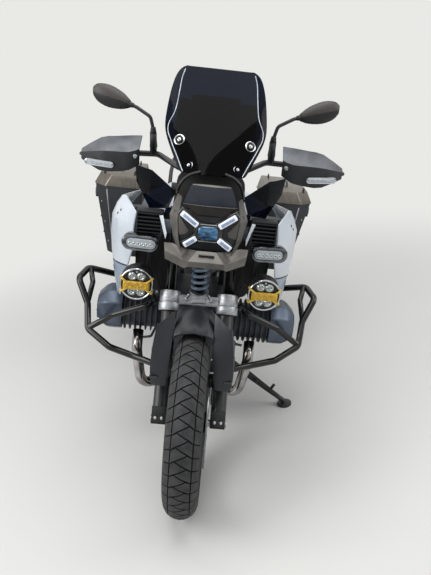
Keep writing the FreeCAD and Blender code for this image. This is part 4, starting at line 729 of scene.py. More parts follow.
# Windscreen: one sheet of dark smoked polycarbonate, its edges folded back along a crease, held by four screws
# with chromed washers in rubber grommets. The two small side wings are the same sheet.


def skin(rows, material, thick, levels=2, sharp_columns=()):
    """A thin curved moulding through rows of points, smoothed and given its thickness on one side."""
    shape = bmesh.new()
    crease = shape.edges.layers.float.new("crease_edge")
    verts = [[shape.verts.new(point) for point in row] for row in rows]
    for upper, lower in zip(verts, verts[1:]):
        for index in range(len(upper) - 1):
            shape.faces.new((upper[index], lower[index], lower[index + 1], upper[index + 1]))
    for column in sharp_columns:
        for upper, lower in zip(verts, verts[1:]):
            shape.edges.get((upper[column], lower[column]))[crease] = 0.7
    piece = linked_mesh(shape, "skin", material)
    if levels:
        apply_modifier(piece, "SUBSURF", levels=levels, render_levels=levels)
    apply_modifier(piece, "SOLIDIFY", thickness=thick, offset=-1.0)
    return piece


# Smoked sheet: glossy, nearly black, but clear against light
smoke = coating("smoked_polycarbonate", "0b1322", "0f192c", 300, 8.0, 0.05, 0.01, 0.0, Transmission_Weight=1.0,
                IOR=1.17)
# height, half width, half width to the crease, y at the middle, at the crease and at the edge
SCREEN = [(1166, 108, 100, 150, 168, 173), (1205, 128, 121, 170, 196, 203), (1250, 152, 146, 195, 229, 238),
          (1292, 172, 162, 222, 260, 270), (1345, 169, 143, 262, 288, 308), (1404, 163, 135, 305, 331, 350),
          (1450, 152, 130, 342, 362, 378), (1478, 138, 122, 364, 380, 391), (1490, 116, 108, 374, 385, 392)]
rows = []
for z, half, crease_x, middle, fold, edge in SCREEN:
    row = []
    for x, y in ((-half, edge), (-crease_x, fold), (-crease_x * 0.6, middle + (fold - middle) * 0.36),
                 (-crease_x * 0.25, middle + (fold - middle) * 0.06),
                 (crease_x * 0.25, middle + (fold - middle) * 0.06),
                 (crease_x * 0.6, middle + (fold - middle) * 0.36), (crease_x, fold), (half, edge)):
        row.append((x / 1000, y / 1000, z / 1000))
    rows.append(row)
screen = skin(rows, smoke, 0.004, 2, (1, 6))
# Painted highlight: a pale bright line along each crease of the smoked sheet
crease_highlight = coating("painted_crease_highlight", "aab2bd", "d4d9df", 30, 3.0, 0.12)
wings = node_copy("windscreen", "wings", smoke)
wings.data.transform(PARKED.inverted())
shape = bmesh.new()
shape.from_mesh(wings.data)
bmesh.ops.delete(shape, geom=[v for v in shape.verts if abs(v.co.x) < 0.11 or v.co.z > 1.151], context="VERTS")
shape.to_mesh(wings.data)
shape.free()
screen = one_piece("windscreen_smoked", [screen, wings])
settle(screen, "chassis", PARKED, ("windscreen",), 30)
# Pale beads along the creases: painted highlight.
beads = []
for side in (-1, 1):
    line = [touch(screen, (side * (crease_x - 1.5) / 1000, 0, (z + 4) / 1000), (0, 1, 0), PARKED)[0]
            for z, half, crease_x, middle, fold, edge in SCREEN[:-1]]
    line = [spot + Vector((0, -0.0006, 0)) for spot in line if spot.y > 0.05]
    beads.append(wire(line, 0.0015, crease_highlight))
edges = one_piece("windscreen_crease_highlights", beads)
settle(edges, "chassis", PARKED)
# Soft rubber: dead black rings
grommet_rubber = coating("grommet_rubber", "0b0b0c", "131314", 20, 1.0, 0.6)
fixings = []
# x, height, y and washer's radius of each screw
for x, z, y, radius in ((-0.080, 1.190, 0.173, 0.0125), (0.080, 1.190, 0.173, 0.0125),
                        (-0.118, 1.262, 0.2235, 0.0165), (0.118, 1.262, 0.2235, 0.0165)):
    tip = (math.radians(64), 0, math.radians(18 if x > 0 else -18))
    fixings.append(hoop((x, y, z), radius, radius * 0.16, chrome, tip, 32, 8))
    fixings.append(hoop((x, y + 0.002, z), radius * 0.72, radius * 0.26, grommet_rubber, tip, 32, 8))
    facing = Matrix.Rotation(tip[2], 3, "Z") @ Matrix.Rotation(tip[0], 3, "X") @ Vector((0, 0, 1))
    spot = Vector((x, y, z))
    fixings.append(bar(spot - facing * 0.006, spot + facing * 0.005, radius * 0.42, bolt_steel, 0.0015, 24))
screws = one_piece("windscreen_fixings", fixings)
settle(screws, "chassis", PARKED)
# Near-black matt moulding: the cowl and carrier's own black, and painted shade where the cowl is carried up behind
# the screen to keep that space dark
black_moulding_and_shade = coating("matt_black_abs_and_painted_shade", "060607", "0a0a0c", 80, 1.6, 0.6, 0.06, 0.03)
# the cowl behind the screen, upwards: half width, y at its middle, how far its sides lie behind that, height
COWL = [(104, 200, 20, 1010), (112, 192, 20, 1060), (116, 188, 20, 1110), (114, 192, 20, 1150)]
# Above its own rows the cowl follows the screen close behind it: a dark sheet as painted shade
COWL += [(min(half, 150) - 16, middle + 24, fold - middle, z - 2)
         for z, half, crease_x, middle, fold, edge in SCREEN[:5] + [(1384, 150, 138, 292, 320, 338)]]
COWL += [(120, 350, 20, 1386), (100, 400, 0, 1360)]
cowl = skin([[(x * half / 1000, (y + bow * x * x) / 1000, z / 1000) for x in (-1, -0.6, -0.2, 0.2, 0.6, 1)]
             for half, y, bow, z in COWL], black_moulding_and_shade, 0.003)
cowl.name = "instrument_cowl"
settle(cowl, "chassis", PARKED)

# Hand guards: bent shells of black nylon on the bar ends, their upward faces painted a lighter silver-grey as painted
# highlight, with a clear indicator strip in a bright frame let into the outer half of each face.


def lozenge(centre, width, height, depth, material, ease=0.001, tilt=0.0):
    """A plate with half-round ends that faces forwards, turned a little in its own plane."""
    outline = []
    for end in (1, -1):
        for step in range(9):
            angle = math.pi * step / 8 - math.pi / 2
            x = end * ((width - height) / 2 + height / 2 * math.cos(angle))
            z = end * height / 2 * math.sin(angle)
            outline.append((centre[0] + x * math.cos(tilt) - z * math.sin(tilt), centre[1],
                            centre[2] + x * math.sin(tilt) + z * math.cos(tilt)))
    return plate(outline, depth, material, ease)


# Painted highlight: the guards' upward faces in a lighter silver-grey than the rest
guard_top_highlight = coating("guard_top_painted_highlight", "54575b", "686b70", 50, 1.2, 0.46, 0.06, 0.02, Metallic=0.35)
guards = welded_copy("hand_guards", "hand_guards_moulded", "steering", black_plastic, 2.0, 30)
second_finish(guards, guard_top_highlight, STEERED, lambda p, n: n.z > 0.45 and n.y < 0.2 and p.z > 1.16)
# Clear lens: pale and wet-looking, with flutes drawn coarse enough to show
clear_lens = coating("clear_lamp_lens", "cfd8e2", "eef2f6", 8, 1.5, 0.08, 0.02, 0.1, Transmission_Weight=0.5)
frame_bright = lozenge((0, 0, 0), 0.112, 0.024, 0.010, chrome, 0.002, math.radians(3))
strip_lens = lozenge((0, -0.003, 0), 0.101, 0.0135, 0.010, clear_lens, 0.003, math.radians(3))
for part in (frame_bright, strip_lens):
    part.location = (0.410, 0.3985, 1.136)
    part.rotation_euler = (math.radians(4), 0, math.radians(6))
strips = [frame_bright, strip_lens,
          bar((0.276, 0.402, 1.172), (0.276, 0.392, 1.172), 0.008, bolt_steel, 0.002, 24)]
indicators = one_piece("hand_guard_indicators", strips, True)
settle(indicators, "steering", STEERED)

# Mirrors: leaf-shaped grained housings with a lengthwise crease and silvered glass behind, on thin black stalks
# that rise from rubber boots on the bar clamps.
# Silvered glass: a mirror
mirror_glass = coating("silvered_glass", "c8ccd0", "d4d8dc", 200, 9.0, 0.03, 0.01, 0.0, Metallic=1.0)
mirrors = welded_copy("mirrors", "mirrors_moulded", "steering", black_plastic, 0, 40)
# Grained nylon: dull black, for the switch keys, and as painted shade on the housings' faces below the crease
dark_grain_and_shade = coating("dark_grained_nylon_and_painted_shade", "0c0c0e", "131416", 60, 1.5, 0.5, 0.08, 0.06)
# Painted light: the same nylon in warm grey on the faces above the crease, which catch more light
mirror_top_painted_light = coating("grained_nylon_painted_light", "332f2c", "3e3a36", 60, 1.5, 0.5, 0.08, 0.06)
HEAD_FOOT = 1.335
CREASE_RISE = 0.12
second_finish(mirrors, dark_grain_and_shade, STEERED, lambda p, n: n.z < CREASE_RISE and p.z > HEAD_FOOT)
second_finish(mirrors, mirror_top_painted_light, STEERED,
              lambda p, n: n.z >= CREASE_RISE and p.z > HEAD_FOOT and abs(p.x) > 0.318)
second_finish(mirrors, mirror_glass, STEERED, lambda p, n: n.y > 0.8 and p.z > HEAD_FOOT and abs(p.x) > 0.325)
# foot, head, radius at the foot and how much the boot widens towards its head
BOOTS = [((0.224, 0.4985, 1.196), (0.224, 0.4785, 1.252), 0.015, 0.72),
         ((0.224, 0.4785, 1.250), (0.225, 0.4770, 1.272), 0.0125, 0.72),
         ((0.300, 0.4815, 1.3415), (0.322, 0.4845, 1.3485), 0.0085, 1.25)]
sockets = [bar(foot, head, radius, grommet_rubber, 0.002, 24, radius * flare) for foot, head, radius, flare in BOOTS]
boots = one_piece("mirror_boots", sockets, True)
settle(boots, "steering", STEERED)

# Extra lamps: below each air intake an oblong lamp, chromed round a clear capsule lens with a row of cells, and
# below that a round lamp, black with four ringed cells and a yellow acrylic band held by four yellow clips.
# Yellow acrylic: clear deep yellow with small ripples
yellow_acrylic = coating("yellow_acrylic_filter", "b98d00", "e0b414", 9, 2.0, 0.15, 0.04, 0.15, Coat_Weight=0.6)
# Paler yellow than the band it holds
yellow_clip = coating("yellow_clip_plastic", "cfa93a", "e6c65c", 10, 1.0, 0.3)
# Satin black that shows the ribs behind the lamp
lamp_black = coating("lamp_black_paint", "101113", "1a1b1e", 40, 1.5, 0.4)
# Reflector cups: a pale sparkle in each cell
cell_chrome = coating("cell_reflector_chrome", "bcc6c4", "e2ebe8", 6, 2.0, 0.12, 0.03, 0.0, Metallic=1.0)
LAMP_AT = Vector((0.228, 0.176, 0.756))
parts = [bar(LAMP_AT + Vector((0, 0.004, 0)), LAMP_AT + Vector((0, 0.064, 0)), 0.0578, lamp_black, 0.003, 56),
         hoop(LAMP_AT + Vector((0, 0.003, 0)), 0.0562, 0.0034, chrome, around=56),
         bar(LAMP_AT + Vector((0, 0.064, 0)), LAMP_AT + Vector((0, 0.086, 0)), 0.051, lamp_black, 0.002, 40, 0.026)]
for index in range(5):
    fin = LAMP_AT + Vector((0, 0.016 + index * 0.011, 0))
    parts.append(hoop(fin, 0.0572, 0.0022, lamp_black, around=48, across=6))
for across in (-0.0155, 0.0155):
    for up in (0.029, -0.0265):
        spot = LAMP_AT + Vector((across, 0.001, up))
        parts.append(hoop(spot, 0.0098, 0.0024, cell_chrome, around=28))
        parts.append(hoop(spot + Vector((0, 0.001, 0)), 0.0052, 0.0014, cell_chrome, around=20, across=8))
        parts.append(bar(spot + Vector((0, 0.004, 0)), spot + Vector((0, -0.0015, 0)), 0.0038, clear_lens, 0.001, 16))
        ring_at = spot + Vector((0, 0.0022, -0.001 if up > 0 else -0.002))
        parts.append(hoop(ring_at, 0.0138, 0.0014, chrome, around=32))
parts.append(block(LAMP_AT + Vector((0, -0.004, -0.003)), (0.094, 0.014, 0.0315), 0.0065, yellow_acrylic,
                   segments=5))
for across in (-0.026, 0, 0.026):
    parts.append(hoop(LAMP_AT + Vector((across, -0.011, -0.003)), 0.0095, 0.0016, yellow_acrylic, around=28))
for side in (-1, 1):
    for up in (-1, 1):
        inner = LAMP_AT + Vector((side * 0.034, -0.007, -0.003 + up * 0.012))
        outer = LAMP_AT + Vector((side * 0.0535, -0.005, -0.003 + up * 0.0255))
        parts.append(bar(inner, outer, 0.0038, yellow_clip, 0.001, 12))
        parts.append(bar(outer, outer + Vector((side * 0.002, 0.018, 0)), 0.0046, yellow_clip, 0.001, 12))
parts.append(bar(LAMP_AT + Vector((0, 0.006, 0.046)), LAMP_AT + Vector((0, 0.001, 0.046)), 0.0042, bolt_steel,
                 0.001, 6))
OBLONG_AT = Vector((0.222, 0.130, 0.921))
# Smoked chrome: a dark mirror round the lens
dark_chrome = coating("smoked_chrome_plate", "5a5d61", "7d8186", 40, 2.0, 0.12, 0.03, 0.0, Metallic=1.0)
oblong = [lozenge((0, 0, 0), 0.128, 0.058, 0.044, dark_chrome, 0.010),
          lozenge((-0.006, -0.002, 0.001), 0.108, 0.040, 0.010, lamp_black, 0.002),
          lozenge((-0.006, -0.006, 0.001), 0.101, 0.0335, 0.012, clear_lens, 0.005)]
for index in range(6):
    oblong.append(hoop((-0.041 + index * 0.0142, -0.0065, 0.001), 0.0050, 0.0019, cell_chrome, around=20, across=8))
for part in oblong:
    part.data.transform(Matrix.Translation(OBLONG_AT) @ Matrix.Rotation(math.radians(6), 4, "Z")
                        @ part.matrix_basis)
    part.matrix_basis = Matrix.Identity(4)
parts += oblong
parts += [block((0.196, 0.204, 0.921), (0.016, 0.096, 0.018), 0.002, lamp_black),
          block((0.196, 0.252, 0.7565), (0.02, 0.032, 0.022), 0.002, lamp_black)]
lamps = one_piece("auxiliary_lamps_detailed", parts, True)
settle(lamps, "chassis", PARKED, ("auxiliary_lamps",), 30)

# Front brakes: four-piston fixed calipers cast in aluminium and painted black, one over each disc. They are
# bolted radially to the fork feet.
welded_copy("brake_calipers", "brake_calipers_black", "steering", black_paint, 1.5)

# Front mudguard: injection-moulded black polypropylene, a domed hood over the tyre with a leg guard down each
# fork leg. A small screw holds each leg guard, and a narrow slot lies across its lower end.


def screws_on(piece, starts, aim, radius, material, place, proud=0.003, sides=6):
    """Screw heads that stand square on a piece where lines from their starts meet it."""
    heads = []
    for start in starts:
        spot, out = touch(piece, start, aim, place)
        if (spot - Vector(start)).length < 0.001:
            continue
        heads.append(bar(spot - out * 0.003, spot + out * proud, radius, material, proud * 0.3, sides))
    return heads


# Fine grain, near black with a faint blue cast painted in for the soft sheen of reflected light
guard_black = coating("fine_grained_polypropylene", "171a1f", "20242a", 80, 1.3, 0.40, 0.05, 0.03)
welded_copy("front_fender", "front_mudguard_moulded", "steering", guard_black, 0, 62)
# outer edge x, y and height, inner edge x, y and height of the leg guards' faces, in millimetres
LEG_GUARD = [(124, -6, 690, 66, 40, 728), (133, -18, 640, 69, -6, 660), (139, -26, 580, 73, -32, 590),
             (141, -31, 522, 79, -40, 528), (134, -32, 480, 84, -41, 484)]
shells = []
for side in (-1, 1):
    rows = []
    for outer_x, outer_y, outer_z, inner_x, inner_y, inner_z in LEG_GUARD:
        row = [(outer_x + 1, outer_y + 34, outer_z), (outer_x, outer_y, outer_z),
               ((outer_x + inner_x) / 2, (outer_y + inner_y) / 2 - 3, (outer_z + inner_z) / 2),
               (inner_x, inner_y, inner_z), (inner_x + 1, inner_y + 20, inner_z)]
        rows.append([(side * x / 1000, y / 1000, z / 1000) for x, y, z in row])
    shells.append(skin(rows, guard_black, 0.0028, 2, (1, 3)))
guards_low = one_piece("leg_guards_moulded", shells)
settle(guards_low, "steering", STEERED, (), 30)
leg_gap = screws_on(guards_low, [(side * 0.120, -0.3, 0.640) for side in (-1, 1)], (0, 1, 0), 0.0045, gloss_plastic,
                    STEERED, 0.002)
leg_gap += [lozenge((side * 0.125, -0.0415, 0.5155), 0.030, 0.0065, 0.006, gloss_plastic, 0.001)
            for side in (-1, 1)]
fender_trim = one_piece("mudguard_screws_and_slots", leg_gap)
settle(fender_trim, "steering", STEERED)

# Handlebar: tapered black steel tube in cast clamps, soft rubber grips with turned weights on their ends, and
# moulded switch boxes. The grips are ribbed round, the boxes carry small unmarked keys.
# Ribbed soft rubber: dull, with bands round the grip
grip_rubber = coating("ribbed_grip_rubber", "0c0c0d", "17171a", 7, 1.2, 0.7, 0.06, 0.25, (3, 0.4, 0.4))
bars = welded_copy("handlebar", "handlebar_and_controls", "steering", black_paint, 0.8)
second_finish(bars, grip_rubber, STEERED, lambda p, n: 0.362 < abs(p.x) < 0.478)
keys = []
for side in (-1, 1):
    for across, up, tone in ((0.318, 0.018, dark_grain_and_shade), (0.330, 0.004, lamp_black), (0.318, -0.010, dark_grain_and_shade)):
        spot, out = touch(bars, (side * across, 0.9, 1.2 + up), (0, -1, 0), STEERED)
        if spot.y < 0.8:
            keys.append(block(spot, (0.009, 0.008, 0.008), 0.002, tone))
if keys:
    settle(one_piece("switch_keys", keys), "steering", STEERED)

# Instruments: a wide colour display in a black frame behind the screen, switched off, and a grey accessory bar
# of drawn aluminium above it, clamped to the screen's carrier.
# Switched-off display: black with a hard gloss
display_glass = coating("dark_display_glass", "07090c", "0b0e13", 120, 9.0, 0.06, 0.02, 0.0, Coat_Weight=1.0)
# Anodised tube: even grey metal
bar_grey = coating("anodised_grey_bar", "8d949e", "a8afb8", 30, 1.0, 0.3, 0.05, 0.01, Metallic=0.7)
cockpit = welded_copy("cockpit", "instrument_carrier", "chassis", black_moulding_and_shade, 1)
second_finish(cockpit, display_glass, PARKED, lambda p, n: n.y > 0.7 and 1.245 < p.z < 1.342 and abs(p.x) < 0.088)
crossbar = [bar((-0.084, 0.318, 1.390), (0.058, 0.318, 1.390), 0.0062, bar_grey, 0.002, 24)]
for x in (-0.082, 0.056):
    crossbar += [bar((x, 0.322, 1.388), (x, 0.430, 1.390), 0.0060, black_moulding_and_shade, 0.001, 16),
                 block((x, 0.320, 1.392), (0.018, 0.022, 0.018), 0.003, black_moulding_and_shade)]
settle(one_piece("accessory_bar_grey", crossbar), "chassis", PARKED)

# Side panels and tank: injection-moulded ABS over a steel tank, painted silver-white under a clear lacquer; the
# panels' outward lower flanks are painted a darker grey-blue as shade. The panels are held by black press clips; the
# tank's cap is anodised and lockable.
# Lacquered silver-white: pale, with a soft clear highlight
panel_paint = coating("silver_white_lacquer", "c2c9d2", "d1d8e0", 150, 1.0, 0.3, 0.03, 0.0, Coat_Weight=0.6)
# Painted shade: the same lacquer in a darker grey-blue on the outward-facing lower flanks
panel_flank_shade = coating("panel_flank_painted_shade", "7f8ea0", "8e9cad", 120, 1.0, 0.34, 0.03, 0.0, Coat_Weight=0.5)
panels = welded_copy("side_panels", "side_panels_lacquered", "chassis", panel_paint, 0, 28)
# the two joints' edges as seen from the side: y and z of a place on each, and its slope up to the rear
JOINT_EDGES = [(0.200, 0.800, -0.16), (0.200, 0.806, -0.16), (0.560, 0.700, 3.2), (0.566, 0.700, 3.2)]
cut_across(panels, PARKED, [((0, foot_y, foot_z), (0, -slope, 1)) for foot_y, foot_z, slope in JOINT_EDGES])


def above(p, edge):
    """Whether a place lies over a joint's edge, seen from the side."""
    foot_y, foot_z, slope = JOINT_EDGES[edge]
    return p.z > foot_z + slope * (p.y - foot_y)


# The outward-facing lower flanks get the painted shade.
second_finish(panels, panel_flank_shade, PARKED, lambda p, n: abs(p.x) > 0.27 and abs(n.x) > 0.3 and not above(p, 0))
second_finish(panels, black_plastic, PARKED, lambda p, n: (abs(n.x) > 0.3 and abs(p.x) > 0.25 and (
    above(p, 0) != above(p, 1) or above(p, 2) != above(p, 3))))
clips = []
for side in (-1, 1):
    for y, z, radius in ((0.300, 0.988, 0.0050), (0.322, 0.970, 0.0050), (0.400, 0.735, 0.0085),
                         (0.560, 0.900, 0.0065)):
        spot, out = touch(panels, (side * 0.6, y, z), (-side, 0, 0), PARKED)
        if abs(spot.x) < 0.5:
            clips.append(bar(spot - out * 0.002, spot + out * 0.0012, radius, black_plastic, 0.0005, 24))
settle(one_piece("panel_clips", clips), "chassis", PARKED)
tank = welded_copy("fuel_tank", "fuel_tank_lacquered", "chassis", panel_paint, 0, 50)
cap_at, cap_out = touch(tank, (0, 0.600, 1.4), (0, 0, -1), PARKED)
cap = [bar(cap_at - cap_out * 0.004, cap_at + cap_out * 0.006, 0.048, gloss_plastic, 0.002, 48),
       bar(cap_at + cap_out * 0.005, cap_at + cap_out * 0.013, 0.036, brushed, 0.003, 48),
       bar(cap_at + cap_out * 0.012, cap_at + cap_out * 0.0145, 0.011, bolt_steel, 0.001, 24)]
CAP_SCREWS = 0.042
cap += screws_on(tank, [(CAP_SCREWS * math.sin(a), 0.600 + CAP_SCREWS * math.cos(a), 1.4)
                        for a in (0.5, 1.5, 2.6, 3.7, 4.7, 5.8)], (0, 0, -1), 0.0034, bolt_steel, PARKED, 0.008)
settle(one_piece("tank_filler_cap", cap), "chassis", PARKED)
seam = []
for side in (-1, 1):
    line = [touch(tank, (side * 0.085, y, 1.4), (0, 0, -1), PARKED)[0] for y in (0.53, 0.60, 0.68, 0.76, 0.82)]
    seam.append(wire([spot + Vector((0, 0, 0.0002)) for spot in line], 0.0014, black_plastic))
settle(one_piece("tank_panel_joints", seam), "chassis", PARKED)

# Inner panels: matt black mouldings beside and behind the fork, clipped to the side panels and the frame. Their
# near-black closes the view past the fork as painted shade.
# x and set-back across each panel, height and y down it
INNER = [(((0.158, 0.012), (0.185, 0.0), (0.215, 0.002), (0.246, 0.02)),
          ((0.945, 0.262), (0.880, 0.268), (0.810, 0.280), (0.745, 0.300))),
         (((0.100, 0.022), (0.125, 0.0), (0.165, -0.004), (0.200, 0.008)),
          ((0.880, 0.428), (0.800, 0.436), (0.715, 0.442), (0.635, 0.446)))]
inner = [skin([[(side * x, y + back, z) for x, back in across] for z, y in down], black_moulding_and_shade, 0.0025)
         for side in (-1, 1) for across, down in INNER]
settle(one_piece("inner_panels", inner), "chassis", PARKED)

# Cable covers: grained black trays, moulded to close the gap between tank and side panels. Each is fitted from
# the tank's flank to just inside the panel.
TANK_SIDE = 0.156
covers_in = []
for side in (-1, 1):
    rows = []
    for y, z in ((0.335, 0.985), (0.420, 0.975), (0.500, 0.955), (0.580, 0.930), (0.650, 0.900)):
        shell = touch(panels, (0, y, z), (side, 0, 0), PARKED)[0]
        flank = touch(tank, (side * 0.6, y, z), (-side, 0, 0), PARKED)[0]
        inner_x = max(TANK_SIDE, abs(flank.x) - 0.003 if abs(flank.x) < 0.3 else TANK_SIDE)
        outer_x = abs(shell.x) + 0.0015
        if abs(shell.x) > 0.17:
            rows.append([(side * (inner_x + (outer_x - inner_x) * share), y, z + 0.012 * math.sin(math.pi * share))
                         for share in (0, 0.33, 0.67, 1)])
    if len(rows) > 2:
        covers_in.append(skin(rows, black_plastic, 0.0025))
settle(one_piece("cable_covers", covers_in), "chassis", PARKED)

# Air intakes: black moulded louvres in front of the oil coolers, one each side of the lamp. They are screwed to
# the carrier and meet the side panels.
welded_copy("grilles", "intake_louvres", "chassis", black_plastic, 0.6)

# Frames: welded steel tube and cast nodes, with the front carrier, the control arm, the case carrier and the
# stand's bracket, all under one black coat.
# Black coat with orange peel: a broken sheen
frame_coat = coating("black_frame_coat", "17181a", "232529", 90, 1.8, 0.42, 0.06, 0.02)
for node, ease in (("front_carrier", 1), ("front_control_arm", 1), ("main_frame", 1), ("rear_frame", 0),
                   ("case_carrier", 0), ("stand_bracket", 0.6)):
    welded_copy(node, node + "_coated", "chassis", frame_coat, ease)

# Engine: air-and-liquid-cooled flat twin, sand-cast aluminium under a dark paint, with ribbed front cover.
# The head covers are die-cast and painted a blue-grey satin; each is held by two bright bolts.
# Painted sand casting: dull dark grey, its grain drawn coarse enough to show
engine_grey = coating("cast_engine_paint", "33353a", "44464c", 50, 1.8, 0.5, 0.08, 0.1, Metallic=0.5)
# Painted die casting: smooth blue-grey metal
cover_grey = coating("satin_cover_paint", "4b5462", "5d6776", 70, 1.3, 0.35, 0.06, 0.02, Metallic=0.6)
engine = welded_copy("engine_block", "engine_casing", "chassis", engine_grey, 2)
front_y = touch(engine, (0, 0.1, 0.42), (0, 1, 0), PARKED)[0].y
outline = [(-0.052, 0.54), (0.052, 0.54), (0.086, 0.49), (0.086, 0.36), (0.058, 0.30), (-0.058, 0.30), (-0.086, 0.36),
           (-0.086, 0.49)]
casting = [plate([(x, front_y - 0.007, z) for x, z in outline], 0.009, engine_grey, 0.003)]
casting += [block((x, front_y - 0.008, 0.42), (0.006, 0.008, 0.17), 0.002, engine_grey)
            for x in (-0.05, -0.025, 0, 0.025, 0.05)]
casting += [bar((x * 0.93, front_y - 0.012, 0.42 + (z - 0.42) * 0.93),
                (x * 0.93, front_y - 0.004, 0.42 + (z - 0.42) * 0.93), 0.0058, bolt_steel, 0.001, 6)
            for x, z in outline]
SPOKE_RING, BOLT_RING = 0.026, 0.070
for side in (-1, 1):
    spot, out = touch(engine, (side * 0.5, 0.735, 0.400), (-side, 0, 0), PARKED)
    casting.append(bar(spot - out * 0.004, spot + out * 0.010, 0.082, engine_grey, 0.004, 56))
    casting.append(bar(spot + out * 0.008, spot + out * 0.014, 0.058, engine_grey, 0.003, 48))
    casting += [block(spot + out * 0.013 + Vector((0, SPOKE_RING * math.cos(a), SPOKE_RING * math.sin(a))),
                      (0.004, 0.046, 0.005), 0.0015, engine_grey, (a, 0, 0))
                for a in (0.4, 1.45, 2.5, 3.55, 4.6, 5.65)]
    for a in [0.3 + index * math.pi / 3 for index in range(6)]:
        foot = spot + Vector((0, BOLT_RING * math.cos(a), BOLT_RING * math.sin(a)))
        casting.append(bar(foot + out * 0.008, foot + out * 0.0135, 0.005, bolt_steel, 0.001, 6))
    for z in (0.27, 0.50, 0.53):
        spot, out = touch(engine, (side * 0.5, 0.70, z), (-side, 0, 0), PARKED)
        casting.append(block(spot, (0.008, 0.26, 0.008), 0.003, engine_grey))
    casting += screws_on(engine, [(side * 0.5, y, z) for y in (0.56, 0.70, 0.83) for z in (0.27, 0.46)],
                         Vector((-side, 0, 0)), 0.006, bolt_steel, PARKED, 0.004)
settle(one_piece("engine_covers_and_bolts", casting), "chassis", PARKED)
# Coolant and oil hoses: rubber, pushed over short steel necks on the casting's front.
# points and radius of each run
HOSES = [([(0.205, 0.300, 0.900), (0.190, 0.345, 0.790), (0.165, 0.385, 0.690), (0.128, 0.392, 0.600),
           (0.118, 0.404, 0.545)], 0.0115),
         ([(0.110, 0.403, 0.500), (0.150, 0.388, 0.440), (0.158, 0.390, 0.370), (0.112, 0.403, 0.310)], 0.0075)]
coolant = []
for side in (-1, 1):
    coolant += [wire([(side * x, y, z) for x, y, z in run], radius, hose_rubber) for run, radius in HOSES]
    coolant.append(bar((side * 0.119, 0.401, 0.560), (side * 0.118, 0.404, 0.536), 0.0145, bolt_steel, 0.002, 28))
settle(one_piece("coolant_hoses", coolant), "chassis", PARKED)
welded_copy("cylinders", "finned_barrels", "chassis", engine_grey, 0.6)
covers = welded_copy("head_covers", "rocker_covers", "chassis", cover_grey, 3)
caps = []
for side, y0 in ((-1, 0.479), (1, 0.505)):
    caps += screws_on(covers, [(side * 0.6, y0 + off, 0.522 + off) for off in (0.036, -0.036)],
                      Vector((-side, 0, 0)), 0.0075, bolt_steel, PARKED, 0.004)
    spot, out = touch(covers, (side * 0.6, y0, 0.522), (-side, 0, 0), PARKED)
    caps += [block(spot + out * 0.0005, (0.004, 0.062, 0.006), 0.0015, cover_grey, (math.radians(45 * turn), 0, 0))
             for turn in (-1, 0, 1)]
settle(one_piece("rocker_cover_bolts", caps), "chassis", PARKED)

# Exhaust: chromed steel headers that blue and straw a little with heat, and a brushed steel silencer with a
# black end cap and a round outlet.
# Chrome that heat has tinted: warm and cool clouds in a bright pipe
pipe_chrome = coating("heat_tinted_chrome", "8f8a86", "c2c0c0", 70, 2.0, 0.16, 0.05, 0.0, Metallic=1.0)
# Brushed steel: streaked grey metal
can_steel = coating("brushed_silencer_steel", "7e8083", "a3a5a8", 24, 0.8, 0.34, 0.06, 0.02, (5, 1, 1), Metallic=1.0)
welded_copy("exhaust_headers", "exhaust_headers_chromed", "chassis", pipe_chrome, 0, 50)
silencer = welded_copy("silencer", "silencer_brushed", "chassis", can_steel, 1)
second_finish(silencer, black_paint, PARKED, lambda p, n: p.y > 1.355)
can_from = Vector((-0.214, 1.040, 0.330))
can_run = Vector((-0.054, 0.360, 0.170))
can_end = [hoop(can_from + can_run * at, 0.0535, 0.0022, chrome, can_run.to_track_quat("Z", "Y").to_euler(), 48)
           for at in (0.12, 0.86)]
settle(one_piece("silencer_bands", can_end), "chassis", PARKED)

# Engine guards: one bent steel tube each side with a welded outer loop, gloss black, held by clamps to the frame.
# The ribbed skid plate of brushed sheet is screwed on under the engine.
# Gloss black paint: a thin bright line along each tube
gloss_black = coating("gloss_black_tube", "070708", "0c0c0d", 90, 3.0, 0.12, 0.03, 0.0, Specular_IOR_Level=0.3,
                      Coat_Weight=0.35)
welded_copy("crash_bars", "engine_guards_gloss", "chassis", gloss_black, 0, 50)
skid = welded_copy("skid_plate", "skid_plate_brushed", "chassis", brushed, 0.8)
ribs = []
for x in (-0.07, 0, 0.07):
    spot, out = touch(skid, (x, 0.60, -0.1), (0, 0, 1), PARKED)
    ribs.append(block(spot, (0.012, 0.34, 0.006), 0.0025, brushed))
ribs += screws_on(skid, [(x, y, -0.1) for x in (-0.1, 0.1) for y in (0.46, 0.74)], Vector((0, 0, 1)), 0.007,
                  bolt_steel, PARKED, 0.003)
settle(one_piece("skid_plate_ribs", ribs), "chassis", PARKED)

# Seats: foam on a moulded base under black grained vinyl, stretched tight and welded along its upper edges.
# The foam swells the cover between its edges; a piped seam runs round each seat's top and two channels cross it.
# Grained vinyl: dull black with a pebbled surface
seat_vinyl = coating("grained_seat_vinyl", "131315", "1e1e20", 50, 1.6, 0.6, 0.08, 0.15)
